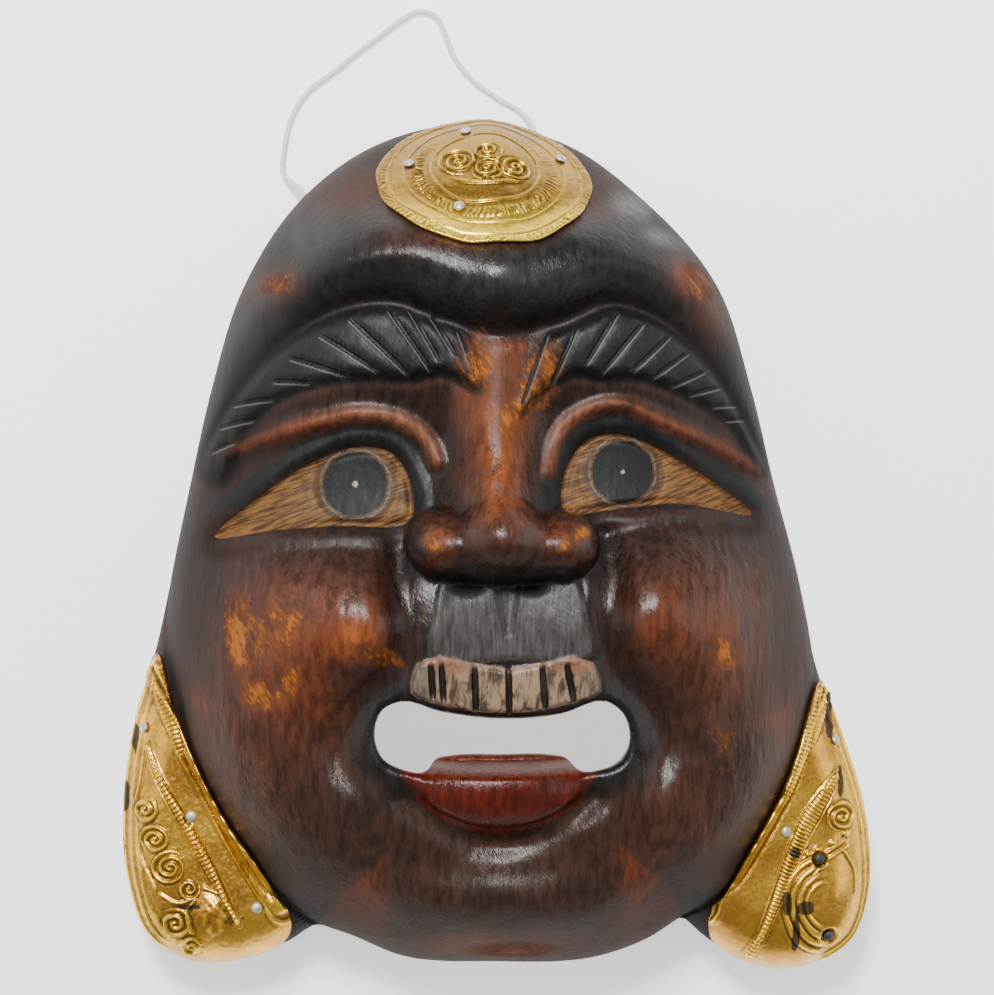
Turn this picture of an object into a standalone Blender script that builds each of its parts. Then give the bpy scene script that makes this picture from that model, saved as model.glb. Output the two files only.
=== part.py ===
# A carved wooden mask with three embossed brass plates and a hanging string.
# The mask lies face up on its flat back. +X is to the right of someone who looks down at it,
# +Y runs up the face to the crown, and +Z comes out of the face.

import math

import bmesh
import bpy
import numpy as np
from mathutils import Vector
from mathutils.bvhtree import BVHTree

# Sizes of the mask, in metres
MASK_HEIGHT = 0.302  # from the lowest ear lobe to the crown
MASK_DEPTH = 0.104  # from the flat back to the tip of the nose
CAVITY_DEPTH = 0.050  # the hollow behind the face
CAVITY_REACH = 0.045  # how far in from its edge the hollow gets its full depth
RIM_WIDTH = 0.014  # flat wood between the side of the face and the hollow
MOUTH_ROUNDING = 0.0030  # the worn front edge of the mouth
MOUTH_SPLAY = 0.0040  # how much wider the mouth is at the back of the wall

CARVING_FACETS = 0.067  # the share of the finely shaped carving's triangles that are kept

# Sizes of the cuts made with a gouge, in metres
GROOVE_DEPTH = 0.0016
GROOVE_WIDTH = 0.0026
SLIVER = 0.00003  # corners that a cut leaves closer together than this become one

# Sizes of the brass plates, in metres
PLATE_THICKNESS = 0.0006
PLATE_CLEARANCE = 0.0010  # between the wood and the back of a plate
MEDALLION_RADIUS = 0.0365
EAR_PLATE_MARGIN = 0.0020  # between the edge of an ear lobe and its plate
EMBOSSING = 0.0009  # how far the rings and borders stand up

# Sizes of the nails, in metres
NAIL_HEAD_RADIUS = 0.0019
NAIL_HEAD_HEIGHT = 0.0011
NAIL_RADIUS = 0.0007
NAIL_LENGTH = 0.0080
NAIL_CLEARANCE = 0.0003  # round the shank, past its point and under the head

# Sizes of the string, in metres
STRING_DIAMETER = 0.0022
STRING_HOLE_CLEARANCE = 0.0005  # all round the string
STRING_HOLE_HEIGHT = 0.0070  # above the flat back
STRING_LIFT = 0.0002  # under the string, where it lies on the table
KNOT_RADIUS = 0.0033
KNOT_CLEARANCE = 0.0004  # between a knot and the wood, and between a knot and its string

# The face is drawn in shares: 302 of them make the mask's height, and 104 its depth.
DRAWN_HEIGHT = 302
DRAWN_DEPTH = 104
SHARE = MASK_HEIGHT / DRAWN_HEIGHT
DEPTH_SHARE = MASK_DEPTH / DRAWN_DEPTH

# The outline, clockwise from the left cheek over the crown, as stretches of drawn points
HEAD = [(-115, -15), (-108, 20), (-100, 56), (-89, 91), (-67, 124), (-44, 141), (-5, 150),
        (28, 142), (52, 125), (81, 92), (93, 56), (102, 20), (111, -15)]
RIGHT_LOBE = [(118, -48), (127, -70), (135, -100), (135, -124), (128, -143), (108, -153), (90, -151),
              (76, -142)]
CHIN = [(67, -135), (56, -142), (40, -148), (0, -150), (-35, -147), (-51, -140), (-62, -136)]
LEFT_LOBE = [(-73, -142), (-90, -148), (-110, -147), (-122, -139), (-130, -118), (-131, -92),
             (-127, -62), (-120, -38)]
# The cheeks and jaw, which run on behind the ear lobes
RIGHT_JAW = [(116, -48), (112, -78), (99, -106), (82, -128)]
LEFT_JAW = [(-78, -128), (-96, -106), (-111, -78), (-117, -45)]

# Heights above the back, in drawn shares
SIDE_HEIGHT = 12  # the upright side, before the face curves in
FACE_HEIGHT = 78
FACE_REACH = 62  # how far in from the outline the face gets its full height
LOBE_HEIGHT = 42
LOBE_REACH = 20

MOUTH_CENTRE = (0, -64)
MOUTH = [(-42.6, -63), (-40, -54), (-34, -51.2), (-21, -54.6), (0, -57), (19, -55.6), (34, -51.6),
         (39.5, -55.5), (42, -64), (39, -71.5), (32, -74.4), (23.5, -73.8), (13, -70.3), (0, -69.6),
         (-14, -70.3), (-24.5, -73.8), (-34, -73.4), (-40, -70)]
LIP = [(-35, -72), (-20, -72.7), (0, -73), (20, -72.7), (32, -72.3), (27, -83), (14, -92.5), (-1, -95.5),
       (-15, -93), (-28, -84.5)]
GUM = [(-22, -10), (4, -8), (29, -10), (30, -24), (28.5, -35.5), (2, -37.5), (-25, -35.5), (-24, -24)]
TEETH = [(-29, -38), (1, -40), (29, -38), (32, -48), (20, -52.5), (0, -55), (-20, -52.5), (-31, -48)]

# The roll of the forehead ends below in this line, from the left temple to the right one.
ROLL_EDGE = [(-118, 22), (-96, 45), (-88, 57), (-73, 70), (-54, 80), (-35, 82), (-20, 76), (-1, 72),
             (18, 76), (35, 82), (52, 78), (68, 66), (80, 53), (88, 40), (112, 18)]
LEFT_BROW = [(-12, 71), (-24, 76), (-38, 80), (-54, 78), (-72, 68), (-86, 55), (-96, 42), (-102, 24),
             (-94, 21), (-86, 37), (-76, 47), (-62, 52.5), (-45, 54.5), (-30, 54), (-20, 56), (-8, 50)]
RIGHT_BROW = [(13, 70), (23, 74), (36, 80), (51, 76), (66, 66), (78, 53), (87, 41), (95, 24), (88, 28),
              (79, 40), (70, 45.5), (58, 51), (44, 55), (32, 54.5), (24, 56), (15, 51), (4, 42)]
LEFT_EYE = [(-97, 2.5), (-82, 15.8), (-63, 27.9), (-47, 32.9), (-37, 31), (-31, 22), (-30, 9.5),
            (-56, 6.5), (-76, 5)]
RIGHT_EYE = [(20, 11.5), (22, 27), (29, 35.5), (41, 37), (50, 34), (65, 26), (79, 17), (87, 11),
             (58, 14), (38, 12)]
LEFT_FOLD = [(-93, 31), (-79, 36), (-63, 40.5), (-47, 43.5), (-34, 41.5), (-26, 36), (-22, 28)]
RIGHT_FOLD = [(15, 25), (17, 34), (21, 40.5), (28, 45), (38, 47), (51, 42.5), (65, 37), (79, 31), (90, 26)]
LEFT_PUPIL = (-49, 20.5)
RIGHT_PUPIL = (40.5, 24.6)
IRIS_RADIUS = 14.5
LEFT_SMILE = [(-34, 2), (-35, -12), (-33, -28), (-38, -42), (-49, -53), (-55, -66), (-51, -82)]
RIGHT_SMILE = [(34, 2), (36, -12), (35, -28), (39, -42), (49, -53), (54, -66), (50, -82)]
UNDER_LIP = [(-32, -84), (-18, -95), (0, -99), (18, -94), (30, -84)]

# Cuts with a gouge: the hairs of the brows and the gaps between the teeth, each from its top down
BROW_CUTS = [
    ((-14.9, 71), (-9, 54)), ((-24, 76), (-15.6, 62)), ((-31, 78), (-21, 60)), ((-38, 78), (-23.5, 57)),
    ((-51, 75), (-31, 56)), ((-61, 70), (-41, 57)), ((-71, 62.5), (-50, 55.5)), ((-77, 54.8), (-63, 54)),
    ((-91, 47.5), (-76, 49)), ((-96, 40), (-82, 42.5)), ((-99, 31.5), (-89.5, 35)),
    ((13.8, 70), (5.5, 46)), ((23.5, 72), (15.2, 53)), ((37.5, 77.5), (26, 59)), ((46.5, 74.5), (31.5, 56.5)),
    ((56, 70.5), (42, 57.5)), ((62.5, 65), (49, 55.5)), ((69, 59), (56, 53)), ((75.5, 54), (62.5, 50.5)),
    ((82.5, 48.2), (71, 47)), ((86, 43.5), (76, 42.5)),
]
TOOTH_CUTS = [((-23, -41), (-20, -51)), ((-11, -43), (-10.3, -53.5)), ((1, -43), (1, -55.5)),
              ((12, -43), (11.5, -54)), ((22, -41), (20, -51))]

# The plates: where the medallion's centre is, how far it leans back, and the ear plates' outlines
MEDALLION_CENTRE = (-5.7, 127)
MEDALLION_LEAN = math.radians(50)
LEFT_PLATE = [(-117, -39), (-126, -62), (-129, -92), (-127, -118), (-120, -136), (-108, -144),
              (-88, -144), (-76, -140), (-72, -132), (-75, -122), (-94, -92), (-110, -58)]
RIGHT_PLATE = [(115, -50), (124, -72), (132, -102), (132, -124), (126, -140), (108, -150), (90, -148),
               (78, -140), (76, -130), (80, -119), (97, -87)]
LEFT_PLATE_CENTRE = (-104, -106)
RIGHT_PLATE_CENTRE = (108, -112)
MEDALLION_NAILS = [(-30.6, 127), (-11, 140), (-14.7, 110.5), (20.3, 130)]
LEFT_EAR_NAILS = [(-120.5, -64), (-105.4, -93.5), (-83, -125)]
RIGHT_EAR_NAILS = [(118.4, -70), (101, -100.7), (112.7, -110.3), (115.5, -136.5)]

# The string, in drawn shares: where it passes the outline, and where it lies on the table
LEFT_HOLE = (-68, 123)
RIGHT_HOLE = (17, 146)
LEFT_HOLE_BEARING = math.radians(125)
RIGHT_HOLE_BEARING = math.radians(100)
STRING_BEND = [(-75.5, 134), (-75, 144), (-72.5, 154.5), (-66.5, 164), (-57.5, 171), (-49, 178),
               (-40.5, 184.5), (-32.5, 190.5), (-26, 193.8), (-20, 192), (-16.6, 185.5), (-13.5, 177.5),
               (-6.5, 169), (3, 162), (11.5, 157)]


def smooth_line(points, closed, steps=8):
    """A smooth curve through the given points: between two of them it is the cubic whose slope at
    each point is the mean of its neighbours' slopes, weighted for their distances."""
    given = np.array(points, dtype=float)
    if closed:
        chain = np.vstack([given[-1], given, given[0], given[1]])
    else:
        chain = np.vstack([2 * given[0] - given[1], given, 2 * given[-1] - given[-2]])
    leap = np.diff(chain, axis=0)
    length = np.linalg.norm(leap, axis=1)[:, None]
    slope = leap / length
    tangent = (slope[:-1] * length[1:] + slope[1:] * length[:-1]) / (length[1:] + length[:-1])
    start, finish, span = chain[1:-2, None], chain[2:-1, None], length[1:-1, None]
    share = (np.arange(steps) / steps)[None, :, None]
    curve = start * (2 * share ** 3 - 3 * share ** 2 + 1) + finish * (3 * share ** 2 - 2 * share ** 3)
    curve += span * tangent[:-1, None] * (share ** 3 - 2 * share ** 2 + share)
    curve += span * tangent[1:, None] * (share ** 3 - share ** 2)
    curve = curve.reshape(-1, given.shape[1])
    return curve if closed else np.vstack([curve, given[-1]])


def line_distance(x, y, line, closed):
    """How far each place is from the nearest stretch of a line."""
    nearest = np.full(np.shape(x), np.inf)
    ends = np.roll(line, -1, axis=0) if closed else line[1:]
    for (ax, ay), (bx, by) in zip(line, ends):
        ux, uy = bx - ax, by - ay
        along = np.clip(((x - ax) * ux + (y - ay) * uy) / (ux * ux + uy * uy), 0, 1)
        nearest = np.minimum(nearest, (x - ax - along * ux) ** 2 + (y - ay - along * uy) ** 2)
    return np.sqrt(nearest)


def inside_distance(x, y, line):
    """How far each place is inside a closed line, or less than nothing outside it."""
    inside = np.zeros(np.shape(x), dtype=bool)
    for (ax, ay), (bx, by) in zip(line, np.roll(line, -1, axis=0)):
        if ay != by:
            inside ^= ((ay > y) != (by > y)) & (x < ax + (y - ay) / (by - ay) * (bx - ax))
    return np.where(inside, 1, -1) * line_distance(x, y, line, True)


def blend(value):
    """0 below 0, 1 above 1, and a smooth rise between them."""
    share = np.clip(value, 0, 1)
    return share * share * (3 - 2 * share)


def rounded(distance, reach):
    """A quarter of an ellipse: upright at no distance, level from the reach on."""
    share = np.clip(distance / reach, 0, 1)
    return np.sqrt(1 - (1 - share) ** 2)


def line_swell(distance, width):
    """1 on a line, and less and less beside it."""
    return np.exp(-(distance / width) ** 2)


def mound(x, y, centre, width, height, turn=0.0):
    """1 in the middle of an ellipse of the given half width and half height, and less outwards."""
    east, north = x - centre[0], y - centre[1]
    across = east * math.cos(turn) + north * math.sin(turn)
    up = north * math.cos(turn) - east * math.sin(turn)
    return np.exp(-((across / width) ** 2 + (up / height) ** 2) ** 1.25)


def ball(x, y, centre, width, height, foot, rise):
    """The upper half of an egg with its middle at the height of foot, and a steep fall round it."""
    ratio = ((x - centre[0]) / width) ** 2 + ((y - centre[1]) / height) ** 2
    return foot + rise * np.sqrt(np.clip(1 - ratio, 0, 1)) - 60 * np.clip(ratio - 1, 0, 1)


def join(first, second, softness):
    """The higher of two surfaces, with the crease between them filled."""
    near = np.clip(softness - np.abs(first - second), 0, None)
    return np.maximum(first, second) + near ** 2 / (4 * softness)


OUTLINE = smooth_line(HEAD + RIGHT_LOBE + CHIN + LEFT_LOBE, True)
FACE_LINE = smooth_line(HEAD + RIGHT_JAW + CHIN + LEFT_JAW, True)
MOUTH_LINE = smooth_line(MOUTH, True, 4)


def forehead_and_brows(x, y, face):
    """What the forehead's roll and the two brows add to the face."""
    above = inside_distance(x, y, smooth_line(ROLL_EDGE + [(150, 210), (-150, 210)], True, 5))
    roll = 12 * blend((above + 3) / 17) * (1 - blend((above - 14) / 40)) * rounded(face, 40)
    added = roll - 2 * line_swell(above + 2.5, 3.5)
    added = added - 2.5 * line_swell(above - 32, 8) * blend((64 - np.abs(x)) / 28)
    for brow in (LEFT_BROW, RIGHT_BROW):
        added = added + 4.5 * rounded(inside_distance(x, y, smooth_line(brow, True, 4)), 7)
    return added


def eye(x, y, outline, fold, pupil, slant):
    """What one eye adds to the face: its socket, the fold and rims of its lids, and the eyeball."""
    inside = inside_distance(x, y, smooth_line(outline, True, 5))
    added = -12 * mound(x, y, (pupil[0] * 1.06, pupil[1] + 1), 42, 23, slant)
    added = added + 3.4 * line_swell(line_distance(x, y, smooth_line(fold, False, 5), False), 2.7)
    added = added + 1.6 * line_swell(inside + 3.4, 2.4) - 2.4 * blend((inside + 0.4) / 1.8)
    from_pupil = np.hypot(x - pupil[0], y - pupil[1])
    added = added + 5 * np.clip(1 - (from_pupil / 30) ** 2, 0, 1) * blend(inside / 3)
    return added - 0.8 * line_swell(from_pupil - IRIS_RADIUS, 0.8) * (inside > 0)


def with_nose(x, y, face):
    """The face with its nose: a bridge that widens downwards, a tip, two wings and two nostrils."""
    down = blend((66 - y) / 56)
    bridge = (3 + 17 * down) * np.exp(-((x + 2.3) / (9 + 6 * down)) ** 2) * blend((y + 13) / 14)
    face = face + bridge
    face = join(face, ball(x, y, (-0.5, 0), 31, 12.5, 72, 24), 7)
    face = join(face, ball(x, y, (-1.5, 3.5), 14.5, 13.5, 74, 28), 12)
    for centre in (-20, 19.5):
        face = join(face, ball(x, y, (centre, 0.5), 12, 12, 72, 21.5), 9)
    for centre in (-12, 9):
        face = face - 4 * mound(x, y, (centre, -12.5), 5, 3)
    return face


def with_mouth(x, y, face):
    """The face with its upper gum, teeth and lower lip, and the worn edge round the opening."""
    face = face + 4 * mound(x, y, (2, -34), 40, 28)
    face = face + 1.3 * blend(inside_distance(x, y, smooth_line(GUM, True, 3)) / 1.6)
    face = face - 1.6 * blend((6 + (y + 10) * 0.3 - np.abs(x - 1)) / 2.5) * (y < -8)
    face = face + 1.8 * blend(inside_distance(x, y, smooth_line(TEETH, True, 3)) / 1.6)
    face = face - 4 * line_swell(line_distance(x, y, smooth_line(UNDER_LIP, False, 4), False), 4.5)
    face = face - 16 * blend((y + 78) / 5) * blend((-y - 66) / 2) * blend((28 - np.abs(x)) / 8)
    lip = inside_distance(x, y, smooth_line(LIP, True, 4))
    bulge = np.sqrt(np.clip(1 - ((x + 1) / 38) ** 2 - ((y + 81) / 17) ** 2, 0, 1))
    face = np.where(lip > 0, join(face, 60 + 24 * bulge * rounded(lip, 4), 3), face)
    away = -inside_distance(x, y, MOUTH_LINE)
    corner = MOUTH_ROUNDING / DEPTH_SHARE
    return face - corner * (1 - rounded(away, MOUTH_ROUNDING / SHARE))


def drawn_height(x, y):
    """The height of the carving above the back, in drawn shares: a dome that falls to the sides,
    lower domes for the ear lobes, and every feature of the face added to them."""
    inside_face = inside_distance(x, y, FACE_LINE)
    dome = SIDE_HEIGHT + (FACE_HEIGHT - SIDE_HEIGHT) * rounded(inside_face, FACE_REACH)
    lobes = SIDE_HEIGHT + (LOBE_HEIGHT - SIDE_HEIGHT) * rounded(inside_distance(x, y, OUTLINE), LOBE_REACH)
    face = join(dome, lobes, 8) - 2 * (1 - blend(np.abs(dome - lobes) / 8))
    near_edge = rounded(inside_face, 25)
    added = forehead_and_brows(x, y, inside_face)
    added = added + eye(x, y, LEFT_EYE, LEFT_FOLD, LEFT_PUPIL, math.radians(12))
    added = added + eye(x, y, RIGHT_EYE, RIGHT_FOLD, RIGHT_PUPIL, math.radians(-8))
    for cheek, furrow in (((-51, -26), LEFT_SMILE), ((53, -24), RIGHT_SMILE)):
        added = added + 8 * mound(x, y, cheek, 30, 25)
        added = added + 4 * mound(x, y, (cheek[0] * 0.88, cheek[1] + 1), 14, 13)
        depth = 5 * blend((y + 88) / 22)
        added = added - depth * line_swell(line_distance(x, y, smooth_line(furrow, False, 4), False), 6.5)
    added = added + 5 * mound(x, y, (0, -124), 36, 19) - 4 * mound(x, y, (0, -105), 34, 9)
    return with_mouth(x, y, with_nose(x, y, face + added * near_edge))


def carved_height(x, y):
    """The height of the carving, in metres, at a place in metres."""
    return drawn_height(x / SHARE, y / SHARE) * DEPTH_SHARE


def carved_normal(x, y):
    """The way out of the wood at a place of the carving, from its slope over a short step."""
    step = SHARE / 2
    east = (carved_height(x + step, y) - carved_height(x - step, y)) / (2 * step)
    north = (carved_height(x, y + step) - carved_height(x, y - step)) / (2 * step)
    normal = np.stack([-east, -north, np.ones_like(east)], axis=-1)
    return normal / np.linalg.norm(normal, axis=-1, keepdims=True)


def on_carving(x, y, lift):
    """The places above x and y that are lifted off the carving by the given distance."""
    return np.stack([x, y, carved_height(x, y)], axis=-1) + carved_normal(x, y) * np.asarray(lift)[..., None]


def radius_at(bearing, line, centre):
    """How far a closed line is from a centre inside it, at each bearing."""
    arm = line - np.array(centre)
    turn = np.arctan2(arm[:, 1], arm[:, 0])
    order = np.argsort(turn)
    return np.interp(bearing, turn[order], np.hypot(*arm.T)[order], period=2 * math.pi)


def even_bearings(line, centre, count):
    """The bearings from a centre of places spaced evenly along a closed line."""
    ring = np.vstack([line, line[:1]])
    travelled = np.concatenate([[0], np.cumsum(np.linalg.norm(np.diff(ring, axis=0), axis=1))])
    places = np.linspace(0, travelled[-1], count, endpoint=False)
    x = np.interp(places, travelled, ring[:, 0])
    y = np.interp(places, travelled, ring[:, 1])
    return np.arctan2(y - centre[1], x - centre[0])


def shifted_line(line, distance):
    """A closed clockwise line moved inwards by a distance, or outwards if it is less than nothing."""
    run = np.roll(line, -1, axis=0) - np.roll(line, 1, axis=0)
    inward = np.stack([run[:, 1], -run[:, 0]], axis=1)
    return line + distance * inward / np.linalg.norm(inward, axis=1, keepdims=True)


def material(name, color, roughness, metallic=0.0):
    made = bpy.data.materials.new(name)
    made.use_nodes = True
    shader = made.node_tree.nodes["Principled BSDF"]
    shader.inputs["Base Color"].default_value = (*color, 1)
    shader.inputs["Roughness"].default_value = roughness
    shader.inputs["Metallic"].default_value = metallic
    return made


def add_object(name, mesh, collection, finish=None):
    """A new object, hung from the empty that holds the drawing over the middle of its box."""
    thing = bpy.data.objects.new(name, mesh)
    thing.parent = bpy.data.objects["drawing"]
    collection.objects.link(thing)
    if finish:
        mesh.materials.append(finish)
    return thing


def mesh_from(name, points, faces):
    """A mesh whose faces all point outwards."""
    form = bmesh.new()
    corners = [form.verts.new(point) for point in points]
    for face in faces:
        form.faces.new([corners[index] for index in face])
    bmesh.ops.recalc_face_normals(form, faces=form.faces)
    mesh = bpy.data.meshes.new(name)
    form.to_mesh(mesh)
    form.free()
    return mesh


def ring_faces(rings, columns, closed):
    """The quads between rings of points, and between the last ring and the first if it is closed."""
    faces = []
    for ring in range(rings if closed else rings - 1):
        after = (ring + 1) % rings
        for column in range(columns):
            beside = (column + 1) % columns
            faces.append((ring * columns + column, ring * columns + beside,
                          after * columns + beside, after * columns + column))
    return faces


def carved_rings(columns, front_rings, back_rings):
    """The rings of the whole carving, in metres. They run from the mouth's front edge over the face
    to the outline, down the side, across the flat rim, over the hollow and back to the mouth."""
    centre = np.array(MOUTH_CENTRE)
    bearing = even_bearings(OUTLINE, centre, columns)
    aim = np.stack([np.cos(bearing), np.sin(bearing)], axis=1)

    def edge(line):
        return centre + aim * radius_at(bearing, line, centre)[:, None]

    mouth, outline = edge(MOUTH_LINE), edge(OUTLINE)
    hollow_line = shifted_line(FACE_LINE, RIM_WIDTH / SHARE)
    hollow = edge(hollow_line)
    mouth_back = edge(shifted_line(MOUTH_LINE, -MOUTH_SPLAY / SHARE))

    share = np.linspace(0, 1, front_rings)
    share = (share - 0.5 * np.sin(2 * math.pi * share) / (2 * math.pi))[:, None, None]
    front = mouth + (outline - mouth) * share
    front_height = drawn_height(front[..., 0], front[..., 1]) * DEPTH_SHARE

    share = np.linspace(0, 1, back_rings)[:, None, None] ** 2
    back = hollow + (mouth_back - hollow) * share
    inside = inside_distance(back[..., 0], back[..., 1], hollow_line) * SHARE
    back_height = CAVITY_DEPTH * rounded(inside, CAVITY_REACH)

    places = np.concatenate([front, outline[None], back]) * SHARE
    heights = np.concatenate([front_height, np.zeros((1, columns)), back_height])
    return np.concatenate([places, heights[..., None]], axis=-1)


def add_mask_body(collection, finish, columns=240, front_rings=120, back_rings=20):
    """The whole carving, shaped finely."""
    rings = carved_rings(columns, front_rings, back_rings)
    faces = ring_faces(len(rings), columns, True)
    return add_object("mask_body", mesh_from("mask_body", rings.reshape(-1, 3), faces), collection, finish)


def cut_mesh(start, finish):
    """One gouge cut: a wedge that follows the carving and tapers to both ends."""
    stations = 6
    share = np.linspace(0, 1, stations)
    x = (start[0] + (finish[0] - start[0]) * share) * SHARE
    y = (start[1] + (finish[1] - start[1]) * share) * SHARE
    depth = GROOVE_DEPTH * (0.35 + 0.65 * np.sin(math.pi * np.clip(share, 0.02, 0.98)))
    bottom = on_carving(x, y, -depth)
    top = on_carving(x, y, depth)
    run = np.array([finish[0] - start[0], finish[1] - start[1], 0])
    side = np.cross(run / np.linalg.norm(run), carved_normal(x, y))
    half = (GROOVE_WIDTH * depth / GROOVE_DEPTH)[:, None] * side
    return np.stack([bottom, top - half, top + half], axis=1)


def add_cutter(name, form, collection, body):
    """A cutter of the wood, kept out of the picture, with its cut."""
    mesh = bpy.data.meshes.new(name)
    bmesh.ops.recalc_face_normals(form, faces=form.faces)
    form.to_mesh(mesh)
    form.free()
    cutter = add_object(name, mesh, collection)
    cutter.hide_render = True
    cutter.display_type = "WIRE"
    for thing in body:
        cut = thing.modifiers.new(name, "BOOLEAN")
        cut.operation = "DIFFERENCE"
        cut.object = cutter
    return cutter


def add_gouge_cuts(collection, body):
    form = bmesh.new()
    for start, finish in BROW_CUTS + TOOTH_CUTS:
        sections = cut_mesh(start, finish)
        corners = [form.verts.new(point) for point in sections.reshape(-1, 3)]
        for face in ring_faces(len(sections), 3, False):
            form.faces.new([corners[index] for index in face])
        form.faces.new(corners[:3])
        form.faces.new(corners[-3:])
    add_cutter("gouge_cuts", form, collection, [body])
    slivers = body.modifiers.new("slivers", "WELD")
    slivers.merge_threshold = SLIVER
    facets = body.modifiers.new("facets", "DECIMATE")
    facets.ratio = CARVING_FACETS


def embossed(x, y, nails):
    """1 away from the nails, and 0 at a nail, where a plate lies flat under the head."""
    plain = np.ones(np.shape(x))
    for nail in nails:
        plain = plain * (1 - line_swell(np.hypot(x / SHARE - nail[0], y / SHARE - nail[1]), 4))
    return plain


def shell_mesh(name, top, bottom):
    """A thin plate from the rings of its top and of its back: each starts with a middle ring, which
    is drawn together in one point, and they meet at the rim."""
    columns = top.shape[1]
    points, faces = [], []
    for rings, first in ((top, 0), (bottom, 1 + (len(top) - 1) * columns)):
        points.append(rings[0].mean(axis=0)[None])
        points.append(rings[1:].reshape(-1, 3))
        for column in range(columns):
            faces.append((first, first + 1 + column, first + 1 + (column + 1) % columns))
        faces += [tuple(first + 1 + index for index in face)
                  for face in ring_faces(len(rings) - 1, columns, False)]
    rim_top = 1 + (len(top) - 2) * columns
    rim_bottom = 2 + (len(top) + len(bottom) - 3) * columns
    for column in range(columns):
        beside = (column + 1) % columns
        faces.append((rim_top + column, rim_top + beside, rim_bottom + beside, rim_bottom + column))
    return mesh_from(name, np.concatenate(points), faces)


def medallion_places(radius, bearing):
    """Places on the crown under the medallion: a flat disc that leans back and is pressed on to it."""
    x0, y0 = np.array(MEDALLION_CENTRE) * SHARE
    z0 = carved_height(np.array([x0]), np.array([y0]))[0]
    back, up = math.sin(MEDALLION_LEAN), math.cos(MEDALLION_LEAN)
    x = x0 + radius * np.cos(bearing)
    y = y0 + radius * np.sin(bearing) * up
    z = z0 - radius * np.sin(bearing) * back
    low, high = np.full(x.shape, -MEDALLION_RADIUS), np.full(x.shape, MEDALLION_RADIUS)
    for _ in range(24):
        middle = (low + high) / 2
        above = z - middle * up > carved_height(x, y - middle * back)
        low, high = np.where(above, middle, low), np.where(above, high, middle)
    return x, y - low * back


def add_medallion(collection, finish, columns=32):
    """A round plate with a raised middle and two raised rings."""
    bearing = np.linspace(0, 2 * math.pi, columns, endpoint=False)[None]
    shares = np.array([0, 0.16, 0.36, 0.43, 0.50, 0.66, 0.72, 0.78, 0.9, 1.0])[:, None]
    raised = np.array([1, 1, 0.2, 1, 0.2, 0.1, 0.8, 0.1, 0.5, 0])[:, None]
    wave = 1 + 0.015 * np.sin(5 * bearing) + 0.01 * np.sin(11 * bearing + 1)

    def layer(share, lift):
        x, y = medallion_places(MEDALLION_RADIUS * share * wave, bearing + 0 * share)
        return on_carving(x, y, lift + 0 * x)

    x, y = medallion_places(MEDALLION_RADIUS * shares * wave, bearing + 0 * shares)
    lift = PLATE_CLEARANCE + PLATE_THICKNESS + EMBOSSING * raised * embossed(x, y, MEDALLION_NAILS)
    bottom = layer(shares[[0, 2, 5, 7, 9]], PLATE_CLEARANCE)
    mesh = shell_mesh("crown_medallion", on_carving(x, y, lift), bottom)
    return add_object("crown_medallion", mesh, collection, finish)


def add_ear_plate(name, outline, centre, boss, nails, collection, finish, columns=30):
    """A drop-shaped plate on an ear lobe, with a raised border and a raised boss."""
    line = smooth_line(outline, True, 6)
    margin = EAR_PLATE_MARGIN / SHARE
    for _ in range(3):
        depth = inside_distance(line[:, 0], line[:, 1], OUTLINE)
        short = np.clip(margin - depth, 0, None)[:, None]
        inward = np.array(centre) - line
        line = line + short * inward / np.linalg.norm(inward, axis=1, keepdims=True)
    bearing = even_bearings(line, centre, columns)
    radius = radius_at(bearing, line, centre)
    shares = np.array([0, 0.2, 0.4, 0.58, 0.74, 0.84, 0.9, 0.95, 1.0])[:, None]
    raised = np.array([0, 0, 0, 0, 0, 0.1, 1, 0.1, 0.4])[:, None]
    x = (centre[0] + radius * np.cos(bearing) * shares) * SHARE
    y = (centre[1] + radius * np.sin(bearing) * shares) * SHARE
    swell = 3 * EMBOSSING * mound(x / SHARE, y / SHARE, boss[:2], boss[2], boss[2])
    lift = EMBOSSING * raised * embossed(x, y, nails) + swell * embossed(x, y, nails)
    lift = lift + PLATE_CLEARANCE + PLATE_THICKNESS
    bottom = on_carving(x, y, PLATE_CLEARANCE + 0 * x)
    mesh = shell_mesh(name, on_carving(x, y, lift), bottom)
    return add_object(name, mesh, collection, finish)


def nail_mesh():
    """Half the outline of a nail, from the top of its head down to its point."""
    profile = [(0, NAIL_HEAD_HEIGHT), (0.7 * NAIL_HEAD_RADIUS, 0.75 * NAIL_HEAD_HEIGHT),
               (NAIL_HEAD_RADIUS, 0), (NAIL_RADIUS, 0), (NAIL_RADIUS, -0.8 * NAIL_LENGTH), (0, -NAIL_LENGTH)]
    mesh = bpy.data.meshes.new("nail")
    mesh.from_pydata([(x, 0, z) for x, z in profile], [(i, i + 1) for i in range(len(profile) - 1)], [])
    return mesh


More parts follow.
